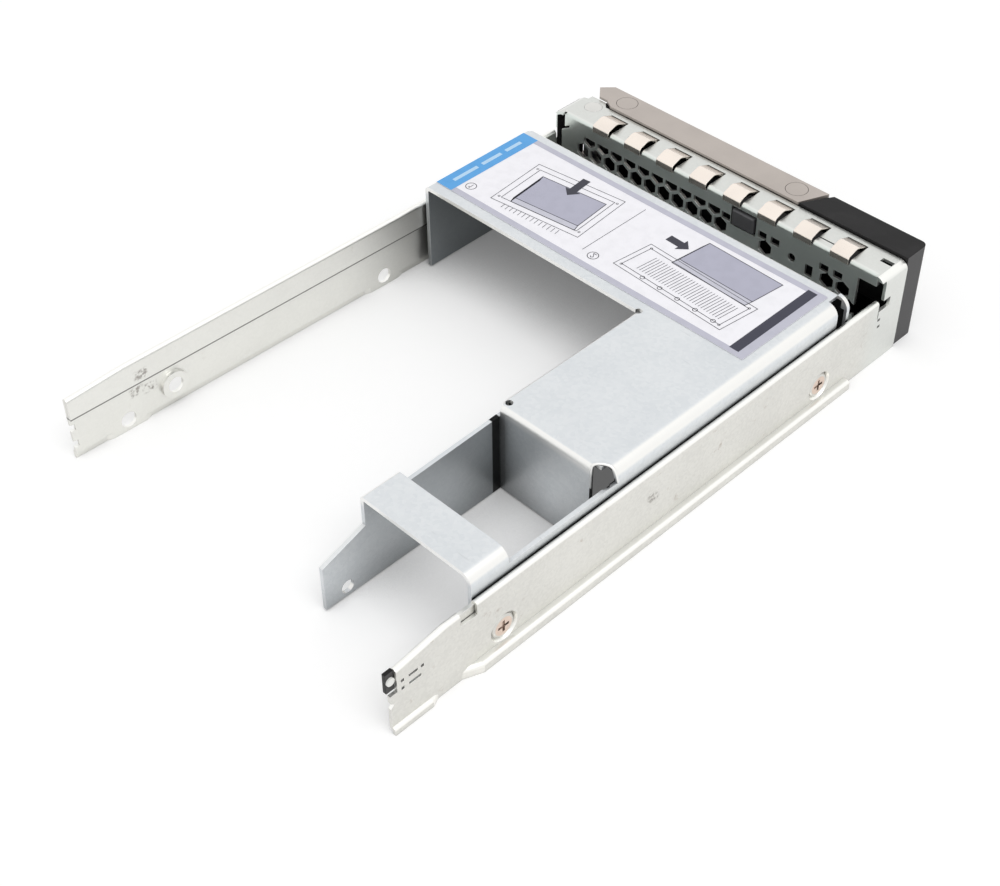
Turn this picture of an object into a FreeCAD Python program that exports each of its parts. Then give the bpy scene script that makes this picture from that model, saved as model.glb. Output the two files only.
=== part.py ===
import FreeCAD, Part
import math
import os

V = FreeCAD.Vector
UP = V(0, 0, 1)

# A 3.5-inch hot swap drive caddy with a 2.5-inch adapter. All sizes are millimetres.
# Origin: middle of the front bracket's bottom flange, on the surface that the caddy lies on.
# +X points from the near rail to the far rail, +Y from the bezel to the rear, +Z up.

# Overlap of pieces that are joined, and reach of a tool past a face
JOIN = 0.02

# Tray frame: one folded sheet
SHEET = 0.8
TRAY_WIDTH = 104.3
BRACKET_HEIGHT = 25.1
BRACKET_DEPTH = 8.74
WALL_BEND = 1.1
NEAR_CORNER_RADIUS = 2.2
FAR_CORNER_RADIUS = 3.8
EAR_OVERRUN = 0.66
WALL_END_GAP = 1.4
PLATE_TAB_REACH = 1.6
PLATE_TAB_WIDTH = 4.6

# Openings in the plate and in the ears' rear edges
HOOK_SLOT_WIDTH = 3.2
HOOK_SLOT_DEPTH = 1.5
HOOK_SLOT_SIDE_MARGIN = 2.0
HOOK_SLOT_SETBACK = 2.57
EAR_STEP_DEPTH = 0.7
EAR_STEP_TOP = 1.2
EAR_NOTCH_DEPTH = 3.3
EAR_NOTCH_RISE = 2.1

# Drive hole patterns: height above the surface, and places measured back from the bracket's wall
DRIVE_35_FIRST_HOLE = 21.36
DRIVE_35_SPACING = 101.6
DRIVE_35_HOLE_HEIGHT = 6.3
DRIVE_25_SPACING = 76.6
DRIVE_25_HOLE_HEIGHT = 3.0
DRIVE_25_BAY_WIDTH = 69.2
DRIVE_25_HOLES_BEHIND_35 = 12.9
DRIVE_25_HOLE_RADIUS = 1.65
RAIL_HOLE_RADIUS = 2.0
HOLE_LAND = 4.6

# Rails
RAIL_BEYOND_SCREW = 30.24
FAR_RAIL_SHORTER = 3.0
RAIL_HEIGHT = 18.8
HEM_GAP = 0.1
HEM_OVERLAP = 4.0
NEAR_FLAP_EDGE = 13.8
FAR_FLAP_EDGE = 12.0
RAIL_TAPER_LENGTH = 15.0
NEAR_TAPER_DROP = 2.3
FAR_TAPER_DROP = 0.9
FAR_SPLAY_DEGREES = 1.23
SPLAY_BEND_RADIUS = 60.0
SPLAY_START = 3.1
FAR_END_NOTCH = 1.2
HEM_NOTCH_LENGTH = 4.4
HEM_NOTCH_DEPTH = 3.1
HEM_CROWN_CUT = 0.9
END_NICK_HEIGHT = 8.0
END_NICK_DEPTH = 0.9

# Runners pressed out of the rails' lower edges
NEAR_RUNNER_OFFSET = 1.8
FAR_RUNNER_OFFSET = 0.6
RUNNER_LEDGE = 2.5
RUNNER_BEND = 0.6
NEAR_RUNNER_FADE = 4.5
FAR_RUNNER_FADE = 1.5
RUNNER_START = 11.2
RUNNER_REAR_MARGIN = 23.0
REAR_RUNNER_LENGTH = 10.0
REAR_RUNNER_OFFSET = 0.9
REAR_RUNNER_LEDGE = 1.9
REAR_RUNNER_FADE = 2.0

# Dimples and screws
DIMPLE_RADIUS = 3.7
DIMPLE_FLOOR_RADIUS = 3.2
DIMPLE_FLARE = 0.3
SCREW_HEAD_RADIUS = 2.9
SCREW_HEAD_HEIGHT = 0.8
SCREW_HEAD_CHAMFER = 0.3
SCREW_RADIUS = 1.7
SCREW_LENGTH = 4.0
SCREW_CROSS_LENGTH = 3.0
SCREW_CROSS_WIDTH = 0.7
SCREW_CROSS_DEPTH = 0.5
TAPPED_HOLE_CLEARANCE = 0.05

# Vent honeycomb in the rear wall
HEX_PITCH = 4.61
HEX_ACROSS_FLATS = 3.8
HEX_ROWS = 3
HEX_FAR_COLUMNS = 11
HEX_SINGLE_COLUMNS = [13, 17, 18]
HEX_SIDE_MARGIN = 10.25
HEX_TOP_ROW_DROP = 8.9
HEX_UPPER_CUT_DROP = 4.5
WINDOW_PLACES = [-5.7, -16.9, -20.8, -35.3, -39.3]
WINDOW_WIDTH = 2.6
WINDOW_HEIGHT = 2.0
WINDOW_DROP = 5.8
TALL_WINDOW_X = -31.2
TALL_WINDOW_WIDTH = 2.2
TALL_WINDOW_HEIGHT = 3.2
TALL_WINDOW_DROP = 8.8
LOCATING_HOLE_X = -26.0
LOCATING_HOLE_RADIUS = 1.1
LOCATING_HOLE_DROP = 7.6
CLIP_WINDOW_FAR = -7.2
CLIP_WINDOW_WIDTH = 7.7
CLIP_WINDOW_HEIGHT = 5.5
CLIP_WINDOW_DROP = 1.8
LARGE_OPENING_WIDTH = 6.5
LARGE_OPENING_HEIGHT = 18.7
LARGE_OPENING_DROP = 3.4

# Shielding fingers
FINGER_COUNT = 8
FINGER_PITCH = 10.69
FINGER_WIDTH = 5.2
FINGER_SIDE_MARGIN = 13.85
FINGER_STRIP_SETBACK = 0.4
FINGER_SLOT_START = 1.6
FINGER_SHEET = 0.25
FINGER_RISE = 1.6
FINGER_LIP_DROP = 1.2
FINGER_ROOT = 1.6
FINGER_SLOPE = 0.4
FINGER_CREST = 5.4
FINGER_BEND = 0.7
FINGER_CREST_BEND = 2.2
FINGER_LIP_GAP = 0.15
SLOT_CLEARANCE = 0.3
SLIT_SETBACK = 2.6
SLIT_WIDTH = 0.4

# Adapter bracket: a second folded sheet
ADAPTER_SHEET = 1.0
ADAPTER_TOP = 24.4
ADAPTER_BOTTOM = 0.5
ADAPTER_SIDE_CLEARANCE = 0.1
ADAPTER_FAR_MARGIN = 1.6
ADAPTER_START = 10.66
WIDE_PLATE_DEPTH = 36.7
NARROW_PART_LENGTH = 81.0
STRAP_BEFORE_SCREW = 3.2
STRAP_WIDTH = 10.2
NEAR_BEND = 3.0
TIGHT_BEND = 1.4
INNER_BEND = 1.1
NEAR_WALL_START = 4.4
LOW_WALL_DROP = 3.65
INNER_WALL_DROP = 2.8
TAIL_LENGTH = 11.9
TAIL_START_DROP = 7.8
TAIL_END_DROP = 11.9
CORNER_GAP = 1.8
NEAR_RELIEF_RADIUS = 1.2
INNER_RELIEF_RADIUS = 0.9

# Label
LABEL_THICKNESS = 0.12
LABEL_NEAR_MARGIN = 4.0
LABEL_FAR_MARGIN = 0.9
LABEL_FRONT_MARGIN = 3.3
LABEL_DEPTH = 30.4

# Front: bezel block and handle
FRONT_HEIGHT = 25.9
FRONT_DEPTH = 8.1
FRONT_GAP = 0.25
FRONT_BOTTOM = 0.2
HANDLE_SKIN = 0.7
HANDLE_WALL = 1.3
HANDLE_SIDE_MARGIN = 3.15
HANDLE_CHAMFER = 2.9
HANDLE_SLANT = 3.4
HANDLE_OPEN_DEGREES = 45.0
BEZEL_SIDE_MARGIN = 0.45
BEZEL_WIDTH = 28.5
BEZEL_WALL = 1.5
BEZEL_SPLIT = 0.5
BEZEL_CORNER = 1.6
PIN_SIDE_MARGIN = 7.55
PIN_SETBACK = 2.1
PIN_RADIUS = 1.5
PIN_HEAD_RADIUS = 2.3
PIN_HEAD_DEPTH = 0.4
PIN_CLEARANCE = 0.05
LUG_RADIUS = 3.0
LUG_GAP = 0.8
STUD_RADIUS = 2.85
STUD_CLEARANCE = 0.12
STUD_FAR_MARGIN = 10.25
STUD_NEAR_MARGIN = 6.95
STUD_SETBACK = 3.7
VENT_PITCH = 8.6
VENT_ACROSS_FLATS = 7.0
VENT_ROWS = 3
VENT_COLUMNS = 6

# Button, latch pawl and their carrier
BUTTON_WIDTH = 13.0
BUTTON_HEIGHT = 14.0
BUTTON_NEAR_OFFSET = 5.0
BUTTON_BOTTOM = 6.0
BUTTON_CORNER = 1.0
BUTTON_PROUD = 0.3
BUTTON_RIM = 0.9
BUTTON_TRAVEL = 2.0
ARM_THICKNESS = 1.6
CAM_PIN_OFFSET = 4.0
CAM_PIN_SETBACK = 3.5
CAM_PIN_RADIUS = 0.9
CAM_PIN_CLEARANCE = 0.1
CAM_MARGIN = 1.9
PAWL_LOW = 11.6
PAWL_HEIGHT = 3.0
PAWL_TRAVEL = 1.6
PAWL_PLATE_MARGIN = 2.6
PAWL_NOSE_SETBACK = 3.4
PAWL_NOSE_WIDTH = 1.6
PAWL_NOSE_REACH = 0.9
MOVING_GAP = 0.3
SHELF_THICKNESS = 2.0
SEAT_SIZE = 6.0
SEAT_THICKNESS = 1.2
INDICATOR_SIDE_MARGIN = 2.4
INDICATOR_SIZE = 1.8
INDICATOR_CLEARANCE = 0.02
INDICATOR_SPREAD = 2.2
CARRIER_SIDE_MARGIN = 6.15
CARRIER_SETBACK = 2.55
CARRIER_THICKNESS = 1.6
CLIP_CLEARANCE = 0.6

# Springs, bent from strip
SPRING_SHEET = 0.3
SPRING_LEAVES = 4
SPRING_REACH = 2.5
SPRING_LEAF_WIDTH = 2.0
SPRING_RADIUS = 1.9
HANDLE_SPRING_LOW = 11.3
HANDLE_SPRING_HEIGHT = 3.4
HANDLE_SPRING_LEG = 9.0

# Light guide in the near rail
GUIDE_HEIGHT = 2.2
GUIDE_MIDDLE = 12.0
GUIDE_THICKNESS = 0.6
GUIDE_CLEARANCE = 0.05
GUIDE_SLOT_LENGTH = 3.1
GUIDE_SLOT_WIDTH = 0.7
GUIDE_SLOT_END_MARGIN = 8.0
GUIDE_HOLE_WIDTH = 0.8
GUIDE_END_LENGTH = 1.9
GUIDE_END_REACH = 0.2
GUIDE_END_LOW = 11.2
INLET_RADIUS = 1.0
INLET_END_MARGIN = 0.85
INLET_HEIGHT = 14.2

HALF_WIDTH = TRAY_WIDTH / 2
WALL_BACK = BRACKET_DEPTH / 2
WALL_FRONT = WALL_BACK - SHEET
PLATE_FRONT = -BRACKET_DEPTH / 2
FRONT_FACE = PLATE_FRONT - FRONT_DEPTH
FRONT_BACK = PLATE_FRONT - FRONT_GAP
HEM_WIDTH = 2 * SHEET + HEM_GAP
REAR_SCREW = DRIVE_35_FIRST_HOLE + DRIVE_35_SPACING
RAIL_LENGTH = REAR_SCREW + RAIL_BEYOND_SCREW
DRIVE_25_LAST_HOLE = REAR_SCREW + DRIVE_25_HOLES_BEHIND_35
DRIVE_25_FIRST_HOLE = DRIVE_25_LAST_HOLE - DRIVE_25_SPACING
ADAPTER_NEAR = -HALF_WIDTH + HEM_WIDTH + ADAPTER_SIDE_CLEARANCE
ADAPTER_FAR = HALF_WIDTH - ADAPTER_FAR_MARGIN
ADAPTER_FRONT = WALL_BACK + ADAPTER_START
STRAP_FRONT = WALL_BACK + REAR_SCREW - STRAP_BEFORE_SCREW
STRAP_BACK = STRAP_FRONT + STRAP_WIDTH
HANDLE_FAR_END = HALF_WIDTH - HANDLE_SIDE_MARGIN
BEZEL_NEAR_END = -HALF_WIDTH + BEZEL_SIDE_MARGIN
HANDLE_NEAR_END = BEZEL_NEAR_END + BEZEL_WIDTH
PIN_X = HALF_WIDTH - PIN_SIDE_MARGIN
PIN_Y = PLATE_FRONT + PIN_SETBACK
DIMPLE_DEPTH = HEM_WIDTH + ADAPTER_SIDE_CLEARANCE - SHEET
STUD_Y = FRONT_FACE + STUD_SETBACK
STUD_PLACES = [HANDLE_FAR_END - STUD_FAR_MARGIN, HANDLE_NEAR_END + STUD_NEAR_MARGIN]
CAM_PIN_X = BEZEL_NEAR_END + BUTTON_NEAR_OFFSET + BUTTON_WIDTH + CAM_PIN_OFFSET
CAM_PIN_Y = FRONT_FACE + CAM_PIN_SETBACK
PAWL_TOP = PAWL_LOW + PAWL_HEIGHT
PAWL_NOSE_FRONT = FRONT_FACE + PAWL_NOSE_SETBACK
INDICATOR_HEIGHTS = [GUIDE_MIDDLE - INDICATOR_SPREAD, GUIDE_MIDDLE + INDICATOR_SPREAD]
GUIDE_OUTER = -HALF_WIDTH + SHEET + GUIDE_CLEARANCE
INLET_Y = WALL_BACK + RAIL_LENGTH - INLET_END_MARGIN
parts = {}


def prism(points, axis, low, high):
    """Polygon in the plane across an axis ("x": y, z; "y": x, z; "z": x, y), extruded from low to high."""
    place = {"x": lambda a, b: V(low, a, b), "y": lambda a, b: V(a, low, b), "z": lambda a, b: V(a, b, low)}
    along = {"x": V(1, 0, 0), "y": V(0, 1, 0), "z": V(0, 0, 1)}
    corners = [place[axis](a, b) for a, b in points]
    return Part.Face(Part.makePolygon(corners + corners[:1])).extrude(along[axis] * (high - low))


def block(x0, x1, y0, y1, z0, z1):
    """Box between two opposite corners."""
    return Part.makeBox(x1 - x0, y1 - y0, z1 - z0, V(x0, y0, z0))


def rod(radius, start, end):
    """Cylinder between two points."""
    return Part.makeCylinder(radius, (end - start).Length, start, end - start)


def joined(pieces):
    """One solid out of pieces that touch or overlap."""
    return pieces[0].fuse(pieces[1:]).removeSplitter()


def less(solid, tools):
    """Solid with a list of tools cut away."""
    return solid.cut(tools)


def edges_between(shape, length, test=lambda edge: True):
    """Straight edges of one length that pass a test."""
    return [edge for edge in shape.Edges if abs(edge.Length - length) < 1e-6 and test(edge)]


def folded(path, radii, sheet, place):
    """Section of a folded sheet: the middle line in two dimensions, thickened, with an arc at each bend."""
    path = [V(a, b, 0) for a, b in path]
    ways = [(after - before).normalize() for before, after in zip(path, path[1:])]
    lefts = [V(-way.y, way.x, 0) for way in ways]

    def side(offset):
        curve = [("point", path[0] + lefts[0] * offset)]
        for index, radius in enumerate(radii):
            here, after = lefts[index], lefts[index + 1]
            turn = 1 if ways[index].cross(ways[index + 1]).z > 0 else -1
            middle = (here + after).normalize()
            centre = path[index + 1] + middle * (turn * radius / middle.dot(here))
            reach = (radius - turn * offset) * turn
            curve.append(("arc", centre - here * reach, centre - middle * reach, centre - after * reach))
        curve.append(("point", path[-1] + lefts[-1] * offset))
        return curve

    def edges(curve):
        made, last = [], None
        for kind, *points in curve:
            points = [place(point.x, point.y) for point in points]
            if last is not None and (points[0] - last).Length > 1e-6:
                made.append(Part.makeLine(last, points[0]))
            if kind == "arc":
                made.append(Part.Arc(*points).toShape())
            last = points[-1]
        return made

    left, right = edges(side(sheet / 2)), edges(side(-sheet / 2))
    start = Part.makeLine(right[0].Vertexes[0].Point, left[0].Vertexes[0].Point)
    end = Part.makeLine(right[-1].Vertexes[-1].Point, left[-1].Vertexes[-1].Point)
    return Part.Face(Part.Wire(Part.sortEdges(left + right + [start, end])[0]))


def flange(start, outward, along, length, top, bottom, radius, sheet):
    """Wall folded down off a plate's edge: the bend starts there and the wall stands a radius outside."""
    middle = radius - sheet / 2
    path = [(0, top - sheet / 2), (middle, top - sheet / 2), (middle, bottom)]
    section = folded(path, [middle - JOIN], sheet, lambda u, z: start + outward * u + UP * z)
    return section.extrude(along * length)


def hexagon(x, z, flats, y0, y1):
    """Six-sided tool with upright sides, for a wall that faces along Y."""
    corner = flats / math.sqrt(3)
    points = [(x + corner * math.sin(math.pi * k / 3), z + corner * math.cos(math.pi * k / 3))
              for k in range(6)]
    return prism(points, "y", y0, y1)


def bracket_corner_slots():
    """Open far corner where the rear wall ends short of the ear, with the slanted slot that leads to it."""
    side, top = HALF_WIDTH, BRACKET_HEIGHT
    band = [(side - 2.2, top - 5.9), (side - SHEET, top - 6.3), (side - SHEET, top - 3.1),
            (side - 2.6, top - 0.5), (side - 4.2, top - 0.2), (side - 2.4, top - 3.3)]
    arm = [(side - 2.3, top - 5.9), (side - 5.4, top - 4.2), (side - 5.4, top - 3.5), (side - 2.3, top - 5.2)]
    front, back = WALL_FRONT - SHEET, WALL_BACK + JOIN
    return [prism(outline, "y", front, back) for outline in (band, arm)]


def vent_holes(front, back):
    """Honeycomb of the rear wall: the far field, the cut-off row over it and the three single columns."""
    row_pitch = HEX_PITCH * math.sqrt(3) / 2
    top_row = BRACKET_HEIGHT - HEX_TOP_ROW_DROP
    far_x = HALF_WIDTH - HEX_SIDE_MARGIN
    holes = []
    for row in range(HEX_ROWS):
        shift = HEX_PITCH / 2 * (row % 2)
        columns = list(range(HEX_FAR_COLUMNS - row % 2)) + HEX_SINGLE_COLUMNS
        for column in columns:
            x = far_x - shift - column * HEX_PITCH
            holes.append(hexagon(x, top_row - row * row_pitch, HEX_ACROSS_FLATS, front, back))
    cut_off = BRACKET_HEIGHT - HEX_UPPER_CUT_DROP
    above = block(-HALF_WIDTH, HALF_WIDTH, front - 1, back + 1, cut_off, BRACKET_HEIGHT)
    for column in range(HEX_FAR_COLUMNS - 1):
        x = far_x - HEX_PITCH * (column + 0.5)
        holes.append(hexagon(x, top_row + row_pitch, HEX_ACROSS_FLATS, front, back).cut(above))
    return holes


def wall_openings():
    """Everything cut through the bracket's rear wall."""
    front, back = WALL_FRONT - SHEET, WALL_BACK + SHEET

    def window(x, width, height, drop):
        middle = BRACKET_HEIGHT - drop
        return block(x - width / 2, x + width / 2, front, back, middle - height / 2, middle + height / 2)

    openings = vent_holes(front, back)
    openings += [window(x, WINDOW_WIDTH, WINDOW_HEIGHT, WINDOW_DROP) for x in WINDOW_PLACES]
    openings.append(window(TALL_WINDOW_X, TALL_WINDOW_WIDTH, TALL_WINDOW_HEIGHT, TALL_WINDOW_DROP))
    hole = V(LOCATING_HOLE_X, front, BRACKET_HEIGHT - LOCATING_HOLE_DROP)
    openings.append(rod(LOCATING_HOLE_RADIUS, hole, hole + V(0, back - front, 0)))
    top = BRACKET_HEIGHT - CLIP_WINDOW_DROP
    openings.append(block(CLIP_WINDOW_FAR - CLIP_WINDOW_WIDTH, CLIP_WINDOW_FAR, front, back,
                          top - CLIP_WINDOW_HEIGHT, top))
    near, top = -HALF_WIDTH + SHEET, BRACKET_HEIGHT - LARGE_OPENING_DROP
    openings.append(block(near, near + LARGE_OPENING_WIDTH, front, back, top - LARGE_OPENING_HEIGHT, top))
    return openings


def finger_places():
    """Near edge of each shielding finger."""
    return [HALF_WIDTH - FINGER_SIDE_MARGIN - FINGER_WIDTH - index * FINGER_PITCH
            for index in range(FINGER_COUNT)]


def finger_slots():
    """Slots in the plate and its rear bend, one under each finger, and the slit between the last two."""
    bottom = BRACKET_HEIGHT - FINGER_LIP_DROP - SLOT_CLEARANCE
    tools = []
    for near in finger_places():
        tools.append(block(near - SLOT_CLEARANCE, near + FINGER_WIDTH + SLOT_CLEARANCE,
                           PLATE_FRONT + FINGER_SLOT_START, WALL_BACK + SHEET, bottom, BRACKET_HEIGHT + 1))
    near, far = finger_places()[-1] + FINGER_WIDTH, finger_places()[-2]
    tools.append(block(near, far, WALL_BACK - SLIT_SETBACK, WALL_BACK - SLIT_SETBACK + SLIT_WIDTH,
                       BRACKET_HEIGHT - 2 * SHEET, BRACKET_HEIGHT + 1))
    return tools


def ear_steps():
    """Cuts in the rear edge of each ear: a shallow step along it and a deeper notch over the rail's flap."""
    steps = []
    notch_low = NEAR_FLAP_EDGE + EAR_NOTCH_RISE
    step_low = RAIL_HEIGHT - SHEET / 2
    for side in (-1, 1):
        x0, x1 = sorted((side * (HALF_WIDTH - 2 * SHEET), side * (HALF_WIDTH + 1)))
        steps.append(block(x0, x1, WALL_BACK - EAR_STEP_DEPTH, WALL_BACK + 2, step_low,
                           BRACKET_HEIGHT - EAR_STEP_TOP))
        steps.append(block(x0, x1, WALL_BACK - EAR_NOTCH_DEPTH, WALL_BACK + 2, notch_low, step_low))
    return steps


def pin_seat():
    """Hole for the pivot pin through the plate and the bottom flange, sunk for its head."""
    hole = rod(PIN_RADIUS + PIN_CLEARANCE, V(PIN_X, PIN_Y, -1), V(PIN_X, PIN_Y, BRACKET_HEIGHT + 1))
    sink = rod(PIN_HEAD_RADIUS + PIN_CLEARANCE, V(PIN_X, PIN_Y, BRACKET_HEIGHT - PIN_HEAD_DEPTH),
               V(PIN_X, PIN_Y, BRACKET_HEIGHT + 1))
    return [hole, sink]


def front_bracket():
    """Top plate, rear wall, bottom flange and ears of the tray."""
    near_end = -HALF_WIDTH + NEAR_CORNER_RADIUS
    far_end = HALF_WIDTH - FAR_CORNER_RADIUS
    top, bottom, back = BRACKET_HEIGHT - SHEET / 2, SHEET / 2, WALL_BACK - SHEET / 2
    bend = WALL_BEND - SHEET / 2
    path = [(PLATE_FRONT, top), (back, top), (back, bottom), (PLATE_FRONT, bottom)]
    section = folded(path, [bend, bend], SHEET, lambda y, z: V(near_end, y, z))
    channel = section.extrude(V(far_end - near_end, 0, 0))
    wall_top = BRACKET_HEIGHT - WALL_BEND
    near_wall = block(-HALF_WIDTH + WALL_END_GAP, near_end, WALL_FRONT, WALL_BACK, SHEET,
                      wall_top - 4 * SHEET)
    far_wall = block(far_end, HALF_WIDTH - 2 * WALL_END_GAP, WALL_FRONT, WALL_BACK, SHEET,
                     wall_top - 5 * SHEET)
    tab_front = PLATE_FRONT - PLATE_TAB_REACH
    tab_near = far_end - PLATE_TAB_WIDTH
    tab = prism([(tab_near - PLATE_TAB_REACH, PLATE_FRONT), (tab_near, tab_front), (far_end, tab_front),
                 (far_end, PLATE_FRONT)], "z", BRACKET_HEIGHT - SHEET, BRACKET_HEIGHT)
    ears = [flange(V(side * (HALF_WIDTH - radius), PLATE_FRONT, 0), V(side, 0, 0), V(0, 1, 0),
                   BRACKET_DEPTH + EAR_OVERRUN, BRACKET_HEIGHT, 0, radius, SHEET)
            for side, radius in ((-1, NEAR_CORNER_RADIUS), (1, FAR_CORNER_RADIUS))]
    hook_near, hook_front = -HALF_WIDTH + HOOK_SLOT_SIDE_MARGIN, PLATE_FRONT + HOOK_SLOT_SETBACK
    hook = block(hook_near, hook_near + HOOK_SLOT_WIDTH, hook_front, hook_front + HOOK_SLOT_DEPTH,
                 BRACKET_HEIGHT - 2 * SHEET, BRACKET_HEIGHT + 1)
    bracket = joined([channel, near_wall, far_wall, tab] + ears)
    openings = ear_steps() + finger_slots() + wall_openings() + bracket_corner_slots() + pin_seat()
    return less(bracket, openings + [hook])


def runner(start, end, offset, ledge, fade_in, fade_out):
    """Lower edge of a far-side rail pressed outwards: ledge and lip, fading into the panel at both ends."""
    middle = SHEET / 2

    def section(y):
        path = [(SHEET, ledge - middle), (-offset + middle, ledge - middle), (-offset + middle, 0)]
        return folded(path, [RUNNER_BEND], SHEET, lambda u, z: V(HALF_WIDTH - u, y, z))

    pieces = [section(start).extrude(V(0, end - start, 0))]
    if fade_in:
        pieces.append(section(start).extrude(V(-offset, -fade_in, 0)))
    if fade_out:
        pieces.append(section(end).extrude(V(-offset, fade_out, 0)))
    inside = block(HALF_WIDTH - 4 * HEM_WIDTH, HALF_WIDTH - SHEET, start - 2 * fade_in - 1,
                   end + 2 * fade_out + 1, -1, ledge + 1)
    return [piece.cut(inside) for piece in pieces]


def hem_section(y, bottom, flap_edge):
    """Section of a far-side rail's hemmed upper part: the panel up to the crown and the flap down again."""
    bend = (SHEET + HEM_GAP) / 2
    crown = RAIL_HEIGHT - SHEET / 2
    path = [(SHEET / 2, bottom), (SHEET / 2, crown), (SHEET / 2 + 2 * bend, crown),
            (SHEET / 2 + 2 * bend, flap_edge)]
    return folded(path, [bend, bend], SHEET, lambda u, z: V(HALF_WIDTH - u, y, z))


def rail(length, flap_edge, taper_drop, stretches):
    """One rail of the far side, straight: panel, hem and runners, from the wall's rear face to its end."""
    start = WALL_BACK + SPLAY_START
    end = WALL_BACK + length
    taper = end - RAIL_TAPER_LENGTH
    overlap = flap_edge - HEM_OVERLAP
    hem = hem_section(start, overlap, flap_edge).extrude(V(0, taper - start, 0))
    tail = hem_section(taper, overlap, flap_edge).extrude(V(0, RAIL_TAPER_LENGTH, -taper_drop))
    below_flap = block(HALF_WIDTH - 2 * HEM_WIDTH, HALF_WIDTH - SHEET, taper, end + 1, 0, flap_edge)
    panel = block(HALF_WIDTH - SHEET, HALF_WIDTH, start, end, 0, overlap)
    cuts, pieces = [], []
    for low, high, offset, ledge, fade_in, fade_out in stretches:
        low, high = WALL_BACK + low, WALL_BACK + high
        cuts.append(block(HALF_WIDTH - 2 * SHEET, HALF_WIDTH + 1, low - fade_in, high + fade_out, -1,
                          ledge - SHEET))
        pieces += runner(low, high, offset, ledge, fade_in, fade_out)
    return joined([less(panel, cuts), hem, less(tail, [below_flap])] + pieces)


def dimple(y):
    """Countersunk dimple of a far-side rail: the pressed cone, and the tools for its hollow and its hole."""
    outer, z = HALF_WIDTH, DRIVE_35_HOLE_HEIGHT
    floor = DIMPLE_DEPTH + SHEET
    profile = [(0, 0), (DIMPLE_RADIUS, 0), (DIMPLE_FLOOR_RADIUS + DIMPLE_FLARE, floor), (0, floor)]
    hollow = [(0, -1), (DIMPLE_RADIUS, -1), (DIMPLE_RADIUS, 0), (DIMPLE_FLOOR_RADIUS, DIMPLE_DEPTH),
              (0, DIMPLE_DEPTH)]

    def turned(points):
        corners = [V(outer - u, y, z + radius) for radius, u in points]
        face = Part.Face(Part.makePolygon(corners + corners[:1]))
        return face.revolve(V(outer, y, z), V(1, 0, 0), 360)

    hole = rod(RAIL_HOLE_RADIUS, V(outer + 1, y, z), V(outer - floor - 1, y, z))
    return turned(profile), [turned(hollow), hole]


def with_dimples(body):
    """Rail body with a dimple at each hole of the larger drive, and the tools that open them."""
    tools = []
    for hole in (DRIVE_35_FIRST_HOLE, REAR_SCREW):
        cone, hollow = dimple(WALL_BACK + hole)
        body = body.fuse(cone)
        tools += hollow
    return body, tools


def splayed(solid):
    """Far rail turned outwards by the splay about the centre of its short bend."""
    centre = V(HALF_WIDTH + SPLAY_BEND_RADIUS, WALL_BACK + SPLAY_START, 0)
    turned = solid.copy()
    turned.rotate(centre, UP, -FAR_SPLAY_DEGREES)
    return turned


def splay_bend(flap_edge):
    """Short curved stretch between the far ear and the splayed rail."""
    start = WALL_BACK + SPLAY_START
    centre = V(HALF_WIDTH + SPLAY_BEND_RADIUS, start, 0)
    return hem_section(start, 0, flap_edge).revolve(centre, UP, -FAR_SPLAY_DEGREES)


def rail_root(flap_edge):
    """Stretch of a rail between the ear and the splay's start."""
    start, end = WALL_BACK + EAR_OVERRUN + 3 * HEM_GAP, WALL_BACK + SPLAY_START
    hem = hem_section(start, flap_edge - HEM_OVERLAP, flap_edge).extrude(V(0, end - start, 0))
    panel = block(HALF_WIDTH - SHEET, HALF_WIDTH, WALL_BACK - EAR_NOTCH_DEPTH, end, 0, flap_edge)
    return joined([panel, hem])


def mirrored(solid):
    """Near-side copy of a far-side solid."""
    return solid.mirror(V(0, 0, 0), V(1, 0, 0))


def guide_marks(outer, inner):
    """Tools for the slots and small square holes along the light guide, at the rail's end and at the ear."""
    tools = []
    start = WALL_BACK + RAIL_LENGTH - GUIDE_SLOT_END_MARGIN
    end = start + GUIDE_SLOT_LENGTH
    low, high = GUIDE_MIDDLE - GUIDE_HEIGHT / 2, GUIDE_MIDDLE + GUIDE_HEIGHT / 2
    half_slot, half_hole = GUIDE_SLOT_WIDTH / 2, GUIDE_HOLE_WIDTH / 2
    for height, first in ((low, start), (high, start + 2 * half_hole)):
        tools.append(block(inner, outer, first, end, height - half_slot, height + half_slot))
        tools.append(block(inner, outer, WALL_BACK - EAR_STEP_DEPTH, WALL_BACK, height - half_hole,
                           height + half_hole))
    behind = end + 2 * GUIDE_HOLE_WIDTH
    for y, height in ((behind, low), (behind, high), (start - half_hole, high)):
        tools.append(block(inner, outer, y - half_hole, y + half_hole, height - half_hole,
                           height + half_hole))
    return tools


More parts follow.
